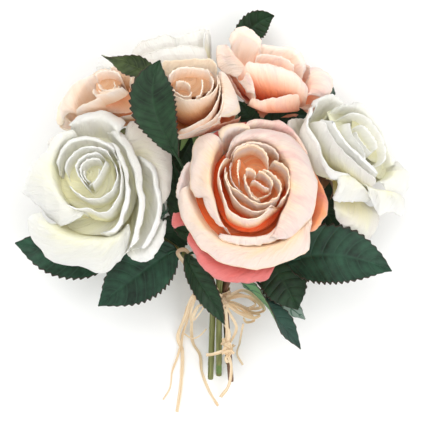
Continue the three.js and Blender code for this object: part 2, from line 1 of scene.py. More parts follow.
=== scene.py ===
# %% [markdown]
# # A hand-tied bunch of cloth roses
# The bunch lies on its back on a pale table and is seen from straight above. Seven roses of thin dyed
# cloth, leaves of stiffer embossed cloth, moulded plastic stems and a raffia tie make it up.
# Stems, leaves and raffia follow the same lines as the solid model of the bunch, only drawn much finer.
# The roses stand where the solid ones stand, and each of their petals is drawn one by one. Work is done in
# millimetres and turned to metres at the end.

# %% Tools and the solid model
import math
from functools import partial

import bpy
import numpy as np
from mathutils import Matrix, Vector


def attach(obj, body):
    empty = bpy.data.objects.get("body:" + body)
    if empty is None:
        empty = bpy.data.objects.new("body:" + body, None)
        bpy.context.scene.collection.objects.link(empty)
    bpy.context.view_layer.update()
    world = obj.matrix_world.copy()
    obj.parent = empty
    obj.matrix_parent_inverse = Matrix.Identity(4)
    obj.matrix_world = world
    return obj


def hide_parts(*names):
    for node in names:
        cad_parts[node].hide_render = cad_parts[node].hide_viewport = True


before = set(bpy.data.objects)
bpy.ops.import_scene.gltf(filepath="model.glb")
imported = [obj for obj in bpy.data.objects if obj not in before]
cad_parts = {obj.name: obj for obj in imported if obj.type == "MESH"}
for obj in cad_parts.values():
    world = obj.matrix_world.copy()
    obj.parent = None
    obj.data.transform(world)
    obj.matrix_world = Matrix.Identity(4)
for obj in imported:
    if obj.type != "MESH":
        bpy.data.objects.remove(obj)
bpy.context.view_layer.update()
MM = 0.001
FRAME_SHIFT = np.array([0.765, -11.19, 0.0])  # mm, from the working origin to the model's own origin
print("solid model:", len(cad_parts), "pieces")


# %% [markdown]
# ## Small helpers
# Three things are needed all the time: turning a web colour into the linear numbers that a shader
# wants, adding a node with its settings and links, and turning arrays of points into a mesh. A patch
# is a dictionary with points, faces, a UV for each point and named numbers (fields) that a material can
# read, such as how far a point is from a leaf's midrib.

# %% Helpers for colour and nodes
def linear(hex_colour):
    """An sRGB colour written as #rrggbb, as linear red, green, blue and alpha."""
    parts = [int(hex_colour[i : i + 2], 16) / 255 for i in (1, 3, 5)]
    return [c / 12.92 if c <= 0.04045 else ((c + 0.055) / 1.055) ** 2.4 for c in parts] + [1.0]


def feed(node, inputs):
    """Sets a node's sockets, each by its name or number: to a value, or to the node or socket before it."""
    for key, value in inputs.items():
        if isinstance(value, bpy.types.Node):
            value = value.outputs[0]
        if isinstance(value, bpy.types.NodeSocket):
            node.id_data.links.new(value, node.inputs[key])
        else:
            node.inputs[key].default_value = value


def add_node(tree, kind, inputs=(), stops=(), **settings):
    """Adds a node, feeds its inputs, and gives a colour ramp its stops."""
    made = tree.nodes.new(kind)
    for key, value in settings.items():
        setattr(made, key, value)
    feed(made, dict(inputs))
    for i, (place, hex_colour) in enumerate(stops):
        stop = made.color_ramp.elements[i] if i < 2 else made.color_ramp.elements.new(place)
        stop.position, stop.color = place, linear(hex_colour)
    return made


def new_material(name):
    """An empty node material, the function that adds nodes to it, and its shader, joined to its output."""
    material = bpy.data.materials.new(name)
    material.use_nodes = True
    material.node_tree.nodes.clear()
    add = partial(add_node, material.node_tree)
    shader = add("ShaderNodeBsdfPrincipled")
    add("ShaderNodeOutputMaterial", {"Surface": shader})
    return material, add, shader


print("rose coral in linear light:", [round(c, 3) for c in linear("#e8775a")[:3]])


# %% Helpers for meshes
UP = np.array([0.0, 0.0, 1.0])
RIDGES = 5  # on a rod that has any


def unit(v):
    """Vectors along the last axis, made one long."""
    v = np.asarray(v, float)
    return v / np.maximum(np.linalg.norm(v, axis=-1, keepdims=True), 1e-12)


def smooth(x):
    """0 below 0, 1 above 1, and a soft step between."""
    x = np.clip(x, 0.0, 1.0)
    return x * x * (3 - 2 * x)


def run_along(line):
    """How far each point lies from the first, measured along a line, or along each column of a grid."""
    steps = np.linalg.norm(np.diff(line, axis=0), axis=-1)
    return np.concatenate([steps[:1] * 0, np.cumsum(steps, axis=0)])


def run_across(grid):
    """How far each point of a grid lies from the first of its row, measured along the row."""
    return np.cumsum(np.linalg.norm(np.gradient(grid, axis=1), axis=2), axis=1)


def bezier(handles, t):
    """Points on a smooth curve with four handles, or on many curves at once with four rows of handles."""
    a, b, c, d = np.asarray(handles, float)
    t = np.asarray(t, float)[..., None]
    return a * (1 - t) ** 3 + 3 * b * t * (1 - t) ** 2 + 3 * c * t**2 * (1 - t) + d * t**3


def bezier_way(handles, t):
    """The direction of such a curve."""
    a, b, c, d = np.asarray(handles, float)
    t = np.asarray(t, float)[..., None]
    return unit((b - a) * (1 - t) ** 2 + 2 * (c - b) * t * (1 - t) + (d - c) * t**2)


def cloth(middle, thick, uv, fields=()):
    """A patch of cloth: two faces, half the thickness either side of a grid of points, and its cut edge."""
    rows, columns = middle.shape[:2]
    normal = unit(np.cross(np.gradient(middle, axis=1), np.gradient(middle, axis=0)))
    thick = np.broadcast_to(np.asarray(thick, float), (rows, columns))[..., None]
    points = np.concatenate([(middle + normal * way * thick / 2).reshape(-1, 3) for way in (1, -1)])
    n = rows * columns
    i = np.arange(n).reshape(rows, columns)
    upper = np.stack([i[:-1, :-1], i[:-1, 1:], i[1:, 1:], i[1:, :-1]], -1).reshape(-1, 4)
    around = np.concatenate([i[0, :], i[1:, -1], i[-1, -2::-1], i[-2:0:-1, 0]])
    after = np.roll(around, -1)
    edge = np.stack([after, around, around + n, after + n], -1)
    faces = np.concatenate([upper, upper[:, ::-1] + n, edge])
    named = {k: np.tile(np.broadcast_to(v, (rows, columns)).ravel(), 2) for k, v in dict(fields).items()}
    named["under"] = np.repeat([0.0, 1.0], n)
    uv = np.tile(uv.reshape(-1, 2), (2, 1))
    return dict(points=points, faces=faces, uv=uv, fields=named, slot=0)


def rod(points, radii, sides, fields=(), ridges=0.0):
    """A round patch along a line of points, closed by a flat cut at both ends. ridges: how far its five
    ridges stand out, as a share of its radius.
    """
    points, radii = np.asarray(points, float), np.asarray(radii, float)
    along = unit(np.gradient(points, axis=0))
    side = UP if abs(along[0][2]) < 0.9 else np.array([1.0, 0.0, 0.0])
    rings = []
    turn = np.arange(sides) * 2 * math.pi / sides
    for p, direction, radius in zip(points, along, radii):
        side = unit(side - direction * (side @ direction))
        other = np.cross(direction, side)
        reach = radius * (1 + ridges * np.cos(RIDGES * turn))
        rings.append(p + reach[:, None] * (np.cos(turn)[:, None] * side + np.sin(turn)[:, None] * other))
    count = len(points)
    i = np.arange(count * sides).reshape(count, sides)
    j = np.roll(i, -1, axis=1)
    wall = np.stack([i[:-1], j[:-1], j[1:], i[1:]], -1).reshape(-1, 4)
    uv = np.stack(np.broadcast_arrays(turn[None, :] / (2 * math.pi), run_along(points)[:, None]), -1)
    all_points, all_uv, faces = [np.concatenate(rings)], [uv.reshape(-1, 2)], [wall]
    total = count * sides
    cut = [np.zeros(total)]
    for which, (middle, ring) in enumerate([(points[0], i[0][::-1]), (points[-1], i[-1])]):
        all_points += [middle[None, :], all_points[0][ring]]
        all_uv += [np.zeros((1 + sides, 2))]
        own = total + 1 + np.arange(sides)
        faces.append(np.stack([np.full(sides, total), own, np.roll(own, -1), np.roll(own, -1)], -1))
        total += 1 + sides
        cut.append(np.full(1 + sides, float(which)))
    named = {k: np.full(total, float(v)) for k, v in dict(fields).items()}
    named["cut"] = np.concatenate(cut)  # 1 on the last cut, 0 elsewhere
    all_points, all_uv, faces = (np.concatenate(parts) for parts in (all_points, all_uv, faces))
    return dict(points=all_points, faces=faces, uv=all_uv, fields=named, slot=0)


def make_piece(name, patches, materials, shift=FRAME_SHIFT):
    """One mesh object from patches, its corners in metres in the model's frame."""
    points = np.concatenate([p["points"] for p in patches])
    start = np.cumsum([0] + [len(p["points"]) for p in patches])
    faces, slots = [], []
    for p, first in zip(patches, start):
        for face in (p["faces"] + first).tolist():
            faces.append(face if face[2] != face[3] else face[:3])
            slots.append(p["slot"])
    mesh = bpy.data.meshes.new(name)
    mesh.from_pydata(((points + shift) * MM).tolist(), [], faces)
    mesh.polygons.foreach_set("use_smooth", np.ones(len(faces), bool))
    mesh.polygons.foreach_set("material_index", np.array(slots, np.int32))
    corner = np.zeros(len(mesh.loops), np.int32)
    mesh.loops.foreach_get("vertex_index", corner)
    uv = np.concatenate([p["uv"] for p in patches])
    mesh.uv_layers.new(name="own").data.foreach_set("uv", uv[corner].astype(np.float32).ravel())
    for key in sorted({k for p in patches for k in p["fields"]}):
        values = np.concatenate([p["fields"].get(key, np.zeros(len(p["points"]))) for p in patches])
        mesh.attributes.new(key, "FLOAT", "POINT").data.foreach_set("value", values.astype(np.float32))
    for material in materials:
        mesh.materials.append(material)
    mesh.validate()
    mesh.update()
    piece = bpy.data.objects.new(name, mesh)
    bpy.context.scene.collection.objects.link(piece)
    return piece


def curve_through(path, pieces=80):
    """Evenly spaced points on a soft curve through the given ones, its bends kept tight to them."""
    p = np.array(path, float)
    p = np.vstack([2 * p[0] - p[1], p, 2 * p[-1] - p[-2]])
    made = []
    for i in range(1, len(p) - 2):
        before, here, after = (p[k + 1] - p[k] for k in (i - 1, i, i + 1))
        first, second, third = (max(np.linalg.norm(step) ** 0.5, 1e-4) for step in (before, here, after))
        start = (before / first - (p[i + 1] - p[i - 1]) / (first + second) + here / second) * second
        end = (here / second - (p[i + 2] - p[i]) / (second + third) + after / third) * second
        x = np.linspace(0, 1, 60)[:, None]
        held = p[i] * (2 * x**3 - 3 * x**2 + 1) + start * (x**3 - 2 * x**2 + x)
        made.append(held + p[i + 1] * (3 * x**2 - 2 * x**3) + end * (x**3 - x**2))
    line = np.vstack(made)
    run = run_along(line)
    even = np.linspace(0, run[-1], pieces + 1)
    return np.stack([np.interp(even, run, line[:, k]) for k in range(3)], -1)


def between(seed, i, k, low, high):
    """A number between low and high that looks random, and is the same for the same three numbers."""
    wave = math.sin(seed * 78.233 + i * 12.9898 + k * 37.719) * 43758.5453
    return low + (high - low) * (wave - math.floor(wave))


print("helpers ready")

# %% [markdown]
# ## Roses that press against each other
# In a tight bunch the outer petals of two roses flatten against each other. A cloth simulation would
# find that by itself, but slowly and a little differently each time. Here each pair of neighbours has a
# plane between them, and a petal that comes near it is squeezed back, softly, so that it never crosses.

# %% Where neighbours meet
MEETINGS = [  # near side, far side, a point between them in mm, and the way across
    ("blush_front", "white_left", (-27, 5, 80), (-0.98, 0, -0.2)),
    ("blush_front", "white_right", (66, 20, 76), (0.72, 0.35, -0.6)),
    ("blush_front", "peach_top", (30, 62, 76), (0, 0.8, -0.6)),
    ("blush_front", "peach_middle", (0, 54, 76), (-0.3, 0.85, -0.4)),
    ("white_left", "peach_left", (-66, 70, 66), (0.1, 0.8, -0.6)),
    ("white_right", "peach_top", (74, 77, 58), (-0.5, 0.5, -0.7)),
    ("peach_middle", "peach_top", (13, 80, 72), (0.85, 0.3, -0.45)),
    ("peach_middle", "white_back", (-18, 92, 62), (-0.1, 0.55, -0.83)),
    ("peach_left", "peach_middle", (-39, 70, 75), (0.95, 0, 0.1)),
    ("peach_left", "white_back", (-58, 88, 60), (0.5, 0.5, -0.7)),
    ("peach_top", "white_back", (2, 92, 46), (-0.95, 0.0, -0.25)),
]
PRESS_DEPTH, PRESS_CLEAR = 7.0, 0.6  # mm: where petals begin to bend, and how far they stay from the plane
TABLE_PRESS, TABLE_CLEAR = 6.0, 0.3  # mm: the same over the table


def pressed(name, points):
    """Bends points of a rose, or of its sepals, clear of its neighbours."""
    points = np.array(points, float)
    for near, far, middle, across in MEETINGS:
        if name not in (near, far):
            continue
        way = unit(across) * (1 if name == near else -1)
        past = (points - np.array(middle)) @ way + PRESS_DEPTH
        room = PRESS_DEPTH - PRESS_CLEAR
        points += way * np.where(past > 0, room * np.tanh(past / room) - past, 0)[..., None]
    # the lowest petals flatten on the table in the same way
    low = np.maximum(TABLE_PRESS - points[..., 2], 0)
    room = TABLE_PRESS - TABLE_CLEAR
    points[..., 2] = np.where(low > 0, TABLE_PRESS - room * np.tanh(low / room), points[..., 2])
    return points


def mouth_turn(facing):
    """The turn, as a matrix, that takes +Z to the way a rose's mouth faces."""
    return np.array(Vector((0, 0, 1)).rotation_difference(Vector(facing)).to_matrix())


def placing(foot, facing):
    """A function that takes points from a rose's own frame, +Z out of its mouth, to the bunch's frame."""
    turn = mouth_turn(facing)
    return lambda points: np.asarray(points) @ turn.T + np.array(foot, float)


print(len(MEETINGS), "places where neighbours press")

# %% [markdown]
# ## Petal cloth
# The petals are thin woven polyester. They are dipped in dye foot first, so the colour is deepest at
# the foot and runs out towards the rim, a little unevenly and in streaks along the threads. That deep
# colour down in a rose is partly painted shade, for the hollows between the petals, and petals that lie
# in shade are set deeper still, which paints their shade. The cloth is matt, with a slight bloom of
# sheen where it turns away, and light passes through it, which makes the folds glow. The colour
# therefore follows the petal's own UV, foot to rim, and the pattern sizes are in millimetres of cloth,
# kept in two fields, across_mm and along_mm.

# %% Material for petals
WEAVE_MM = 0.5  # the real threads are 0.15 mm apart; drawn coarser so that they show at all


def petal_cloth(name, dye, blush, rim, glow, depth):
    """Dyed petal cloth. dye: its colours from foot to rim, whose deep end is partly painted shade
    for the hollows down in a rose. blush: those of a second tint, for petals and patches that have more of
    it; the white cloth's second set is greyer, and paints shade where a petal takes much of it. rim: the
    colour of bare threads. glow: how much light the cloth lets through, and depth: how far that light's
    red, green and blue spread, against each other.
    """
    material, add, shader = new_material(name)
    uv = add("ShaderNodeSeparateXYZ", {0: add("ShaderNodeUVMap", uv_map="own")})
    across, along, tone, pink = (
        add("ShaderNodeAttribute", attribute_name=field).outputs["Fac"]
        for field in ("across_mm", "along_mm", "tone", "pink")
    )
    offset = add("ShaderNodeMath", {0: tone, 1: 97.0}, operation="MULTIPLY")
    flat = add("ShaderNodeCombineXYZ", {0: across, 1: along, 2: offset})
    # uneven dye: patches 10 mm wide and 25 mm long push the colour up or down the petal
    patchy = add("ShaderNodeVectorMath", {0: flat, 1: (0.1, 0.04, 1)}, operation="MULTIPLY")
    patches = add("ShaderNodeTexNoise", {"Vector": patchy, "Scale": 1.0, "Detail": 3.0, "Roughness": 0.6})
    streaky = add("ShaderNodeVectorMath", {0: flat, 1: (1.1, 0.06, 1)}, operation="MULTIPLY")
    streaks = add("ShaderNodeTexNoise", {"Vector": streaky, "Scale": 1.0, "Detail": 4.0, "Roughness": 0.65})
    shift = add("ShaderNodeMath", {0: patches, 1: 0.34, 2: -0.17}, operation="MULTIPLY_ADD")
    shift = add("ShaderNodeMath", {0: streaks, 1: 0.14, 2: shift}, operation="MULTIPLY_ADD")
    dip = add("ShaderNodeMath", {0: tone, 1: 0.12, 2: -0.13}, operation="MULTIPLY_ADD")
    shift = add("ShaderNodeMath", {0: shift, 1: dip}, operation="ADD")
    height = add("ShaderNodeMath", {0: uv.outputs[1], 1: shift}, operation="ADD")
    dyed = add("ShaderNodeValToRGB", {0: height}, stops=dye)
    second_tint_and_shade = add("ShaderNodeValToRGB", {0: height}, stops=blush)
    # how much of the second tint: on the white cloth that tint is greyer, and where a petal takes much of
    # it, it is painted shade
    share = add("ShaderNodeMath", {0: patches, 1: 1.5, 2: pink}, operation="MULTIPLY_ADD")
    share = add("ShaderNodeMath", {0: streaks, 1: 0.8, 2: share}, operation="MULTIPLY_ADD")
    share = add("ShaderNodeMath", {0: share, 1: 1.22}, operation="SUBTRACT", use_clamp=True)
    colour = add("ShaderNodeMix", {0: share, 6: dyed, 7: second_tint_and_shade}, data_type="RGBA").outputs[2]
    # the cut rim is paler, where the threads are bare
    bare = add("ShaderNodeMapRange", {0: uv.outputs[1], 1: 0.965, 2: 0.995, 3: 0.0, 4: 0.7})
    colour = add("ShaderNodeMix", {0: bare, 6: colour, 7: linear(rim)}, data_type="RGBA").outputs[2]
    weft = add("ShaderNodeMath", {0: across, 1: 2 * math.pi / WEAVE_MM}, operation="MULTIPLY")
    warp = add("ShaderNodeMath", {0: along, 1: 2 * math.pi / WEAVE_MM}, operation="MULTIPLY")
    weft = add("ShaderNodeMath", {0: weft}, operation="SINE")
    warp = add("ShaderNodeMath", {0: warp}, operation="SINE")
    weave = add("ShaderNodeMath", {0: weft, 1: warp}, operation="MULTIPLY")
    pleats = add("ShaderNodeMath", {0: streaks, 1: 6.0, 2: weave}, operation="MULTIPLY_ADD")
    bump = add("ShaderNodeBump", {"Height": pleats, "Strength": 0.5, "Distance": 0.0001})
    # creases from pressing: 4 mm wide and 20 mm long, mostly from foot to rim
    creased = add("ShaderNodeVectorMath", {0: flat, 1: (0.25, 0.06, 1)}, operation="MULTIPLY")
    creases = add("ShaderNodeTexNoise", {
        "Vector": creased, "Scale": 1.0, "Detail": 3.0, "Roughness": 0.55, "Distortion": 0.6,
    })
    bump = add("ShaderNodeBump", {"Height": creases, "Strength": 0.9, "Distance": 0.0016, "Normal": bump})
    feed(shader, {
        "Base Color": colour, "Normal": bump, "Roughness": 0.68, "IOR": 1.5,
        "Specular IOR Level": 0.25, "Sheen Weight": 0.2, "Sheen Roughness": 0.4,
        "Subsurface Weight": glow, "Subsurface Radius": depth, "Subsurface Scale": 0.003,
    })
    shader.subsurface_method = "BURLEY"
    return material


BLUSH_DYE = [
    (0, "#d83c10"), (1, "#e9dcd6"), (0.3, "#ea6a30"), (0.48, "#f3aa74"), (0.62, "#f3d0a8"),
    (0.78, "#eddaca"),
]
PINK_DYE = [(0, "#c83a26"), (1, "#eab8b2"), (0.3, "#d05444"), (0.55, "#d26660"), (0.8, "#da8684")]
PEACH_DYE = [
    (0, "#d65c30"), (1, "#f5e8e0"), (0.3, "#ea8c60"), (0.5, "#f2b292"), (0.7, "#f5d4bc"),
    (0.85, "#f5e3d3"),
]
APRICOT_DYE = [(0, "#c87a48"), (1, "#f2e6dc"), (0.35, "#dfa474"), (0.58, "#ebc6a4"), (0.8, "#f0d9c6")]
WHITE_DYE = [(0, "#e6da8c"), (1, "#e8e8e6"), (0.3, "#eae4b2"), (0.5, "#ebe9cb"), (0.7, "#e8e7dd")]
# the white cloth's second tint is greyer, and paints shade on the petals that take much of it
WHITE_SHADE = [(0, "#d0c48c"), (1, "#e2dcd6"), (0.4, "#dad1b8"), (0.7, "#dfd9ce")]

PETAL_CLOTHS = {
    "blush": petal_cloth("satin_cloth_blush", BLUSH_DYE, PINK_DYE, "#fbe3c0", 0.42, (1.0, 0.75, 0.6)),
    "peach": petal_cloth("satin_cloth_peach", PEACH_DYE, PINK_DYE, "#fbe6d4", 0.42, (1.0, 0.8, 0.65)),
    "apricot": petal_cloth("satin_cloth_apricot", APRICOT_DYE, PEACH_DYE, "#f9e8cc", 0.4, (1.0, 0.85, 0.7)),
    "white": petal_cloth("satin_cloth_white", WHITE_DYE, WHITE_SHADE, "#efeee9", 0.34, (1.0, 0.97, 0.9)),
}
print("petal cloths:", ", ".join(PETAL_CLOTHS))

# %% [markdown]
# ## Seven roses
# Each rose has a foot, where its stem ends, and a way that its mouth faces. Its size sets the core that
# all its petals are glued to, its seed sets how they ruffle, and its cloth is one of the four dyes.

# %% Where the roses sit
ROSES = {
    "blush_front": dict(foot=(25.5, 5, 70), facing=(0.03, 0.38, 0.92), size=1.06, seed=3, cloth="blush",
        slot="petals_blush"),
    "white_left": dict(foot=(-70, 8, 60), facing=(-0.2, 0.42, 0.88), size=1.04, seed=5, cloth="white",
        slot="petals_white"),
    "white_right": dict(foot=(78, 27, 50), facing=(0.66, 0.34, 0.67), size=1.02, seed=7, cloth="white",
        slot="petals_white"),
    "peach_top": dict(foot=(31, 75, 48), facing=(0.2, 0.87, 0.45), size=0.94, seed=11, cloth="peach",
        slot="petals_peach"),
    "peach_middle": dict(foot=(-12.5, 60, 60), facing=(0.0, 0.62, 0.78), size=1.04, seed=13, cloth="apricot",
        slot="petals_apricot"),
    "peach_left": dict(foot=(-56, 52, 56), facing=(-0.36, 0.62, 0.7), size=1.02, seed=17, cloth="apricot",
        slot="petals_apricot"),
    "white_back": dict(foot=(-29, 83.5, 36.5), facing=(-0.08, 0.98, 0.04), size=0.94, seed=19, cloth="white",
        slot="petals_white"),
}
print("roses:", ", ".join(ROSES))

# %% [markdown]
# ## Petals drawn from life
# A rose is a spiral of petals: short, narrow and upright at the heart, longer and wider going outwards,
# until the outermost roll back over their own rims. A rule can set such a spiral, but no two real roses
# are alike, and the eye knows the one that it has looked at. So each petal is drawn: the line where it
# turns over (crest) and, where it rolls back far, the line of its rim. Both are read off as the
# camera sees them, and each point has a height over the rose's foot, in mm. The cloth is then two soft
# curves at every point across the petal, from the foot up to the crest and from the crest over to the
# rim. With its lines, each petal says what its shape and colour have that isn't usual.

# %% A petal from its drawn lines
MIDDLE = 213  # across and down the drawing, straight under the camera
SEEN, SEEN_HEIGHT = 0.65, 55.0  # mm for each unit of the drawing, at this height over the table
EYE = np.array([0.0, 0.0, 1255.0])  # mm, where the camera is in the working frame
OVER_TABLE = {"peach_top", "white_back"}  # seen from the side, so their heights are over the table instead
WALL_ROWS, BAND_ROWS, ACROSS = 20, 10, 34
FOOT_SHARE = 0.14  # a petal's foot, against the curve of its crest
# belly: how far out a petal runs before it rises. tuck: how far it leans out at its crest, or in below 0.
# arch: how high it arches on its way to the rim. round: how much shorter its sides are. waves: how uneven
# its cloth is. steep: how fast the colour deepens from the rim down. dye: paler above 0, deeper
# below 0; on petals that lie deep or under others, the deeper colour is painted shade.
# pink: how much it has of the second tint, which on the white roses is greyer and paints shade.
PLAIN = dict(belly=0.9, tuck=0.0, arch=0.22, round=0.3, waves=1.0, steep=1.7, dye=0.0, pink=0.0)
ROLLED = dict(PLAIN, round=0.2, waves=1.35, steep=1.0)
LIP, LIP_FALL = 0.55, 0.35  # mm that a plain rim leans out, and how far it falls for each mm
SLOW_WAVES = [(23, 0.8), (14, 0.5), (9, 0.3)]  # mm: how long and how deep
RUFFLES = [(0.2, 7.1, 2), (0.13, 15.7, 1), (0.08, 31, 3)]  # mm deep, waves across, times the phase
FRAYS = [(0.28, 11.3, 1), (0.2, 26, 2)]


def petal(crest, rim=None, **own):
    """A petal as drawn: one line, or two if it rolls back far, and what it has that isn't usual."""
    return dict(ROLLED if rim else PLAIN, crest=crest, rim=rim, **own)


def drawn_line(name, line, pieces):
    """Points in a rose's own frame along a line drawn as (across, down, height over the rose's foot)."""
    facing, foot = unit(ROSES[name]["facing"]), np.array(ROSES[name]["foot"], float)
    turn = mouth_turn(facing)
    points = []
    for x, y, height in line:
        way = np.array([(x - MIDDLE) * SEEN, (MIDDLE - y) * SEEN, SEEN_HEIGHT]) - EYE
        reach = (height - (EYE - foot) @ facing) / (way @ facing)
        if name in OVER_TABLE:
            reach = (height - EYE[2]) / way[2]
        points.append((EYE + reach * way - foot) @ turn)
    return curve_through(points, pieces)


def plain_rim(crest):
    """The rim of a petal that doesn't roll back: a short lip that leans outward over its crest."""
    along = unit(np.gradient(crest * [1, 1, 0], axis=0))
    outward = np.stack([along[:, 1], -along[:, 0], along[:, 0] * 0], -1)
    return crest + outward * LIP - UP * LIP_FALL * LIP


def wall_and_band(crest, rim, shape):
    """Rows of points from a petal's foot up to its crest, then from the crest over to its rim."""
    flat, tall = crest * [1, 1, 0], crest[:, 2:]
    foot = flat * FOOT_SHARE
    spread = flat - foot
    first = foot + spread * shape["belly"] + UP * 0.06 * tall
    ahead = spread * shape["tuck"] + UP * tall * 0.5
    over = np.linalg.norm(rim - crest, axis=1, keepdims=True)
    bend = crest + unit(ahead) * over * shape["arch"]
    far = rim - (rim - crest) * 0.35 + UP * over * shape["arch"]
    wall = bezier([foot, first, crest - ahead, crest], np.linspace(0, 1, WALL_ROWS + 1)[:, None])
    band = bezier([crest, bend, far, rim], np.linspace(0, 1, BAND_ROWS + 1)[1:, None])
    return np.concatenate([wall, band])


def even_rows(points, short):
    """The same cloth in even rows, with each column cut to its share, and how far along each row lies."""
    run = run_along(points)
    share = np.linspace(0, 1, len(points))[:, None] ** 0.85 * short
    kept = share * run[-1]
    columns = range(ACROSS + 1)
    even = [[np.interp(kept[:, j], run[:, j], points[:, j, k]) for j in columns] for k in range(3)]
    return np.stack(even, -1).transpose(1, 0, 2), share, kept


def ripple(parts, phase):
    """Waves across a petal, from its left side to its right."""
    s = np.linspace(-1, 1, ACROSS + 1)
    return sum(deep * np.sin(waves * s * math.pi + start * phase) for deep, waves, start in parts)


def ruffled(points, share, waves, short, seed):
    """Starched cloth is never quite even: slow waves that neighbours share, and small ruffles on a rim."""
    high = smooth((share - 0.35) / 0.5)[..., None]
    for k, (size, deep) in enumerate(SLOW_WAVES):
        way = unit([between(k, i, 3, -1, 1) for i in (1, 2, 3)])
        swing = np.sin((points @ way)[..., None] * 2 * math.pi / size + k)
        points = points + high * waves * deep * swing * np.cross(way, [0.3, 0.8, 0.5])
    phase = between(seed, 1, 6, 0, 6.28)
    rim_only = smooth((share / short - 0.86) / 0.14)
    normal = unit(np.cross(np.gradient(points, axis=1), np.gradient(points, axis=0)))
    along = unit(np.gradient(points, axis=0))
    rough, frayed = ripple(RUFFLES, phase) * rim_only, ripple(FRAYS, phase) * rim_only
    return points + normal * rough[..., None] + along * frayed[..., None]


def drawn_petal(name, shape, seed):
    """A grid of points, the share of the petal's length at each, and the same in mm, for a drawn petal."""
    crest = drawn_line(name, shape["crest"], ACROSS)
    rim = drawn_line(name, shape["rim"], ACROSS) if shape["rim"] else plain_rim(crest)
    # the outermost columns stop short, so that a petal's corners are round and tuck in
    corner = smooth((np.abs(np.linspace(-1, 1, ACROSS + 1)) - 0.7) / 0.3) ** 1.6
    short = 1 - shape["round"] * corner
    points, share, run = even_rows(wall_and_band(crest, rim, shape), short)
    return ruffled(points, share, shape["waves"], short, seed), share, run


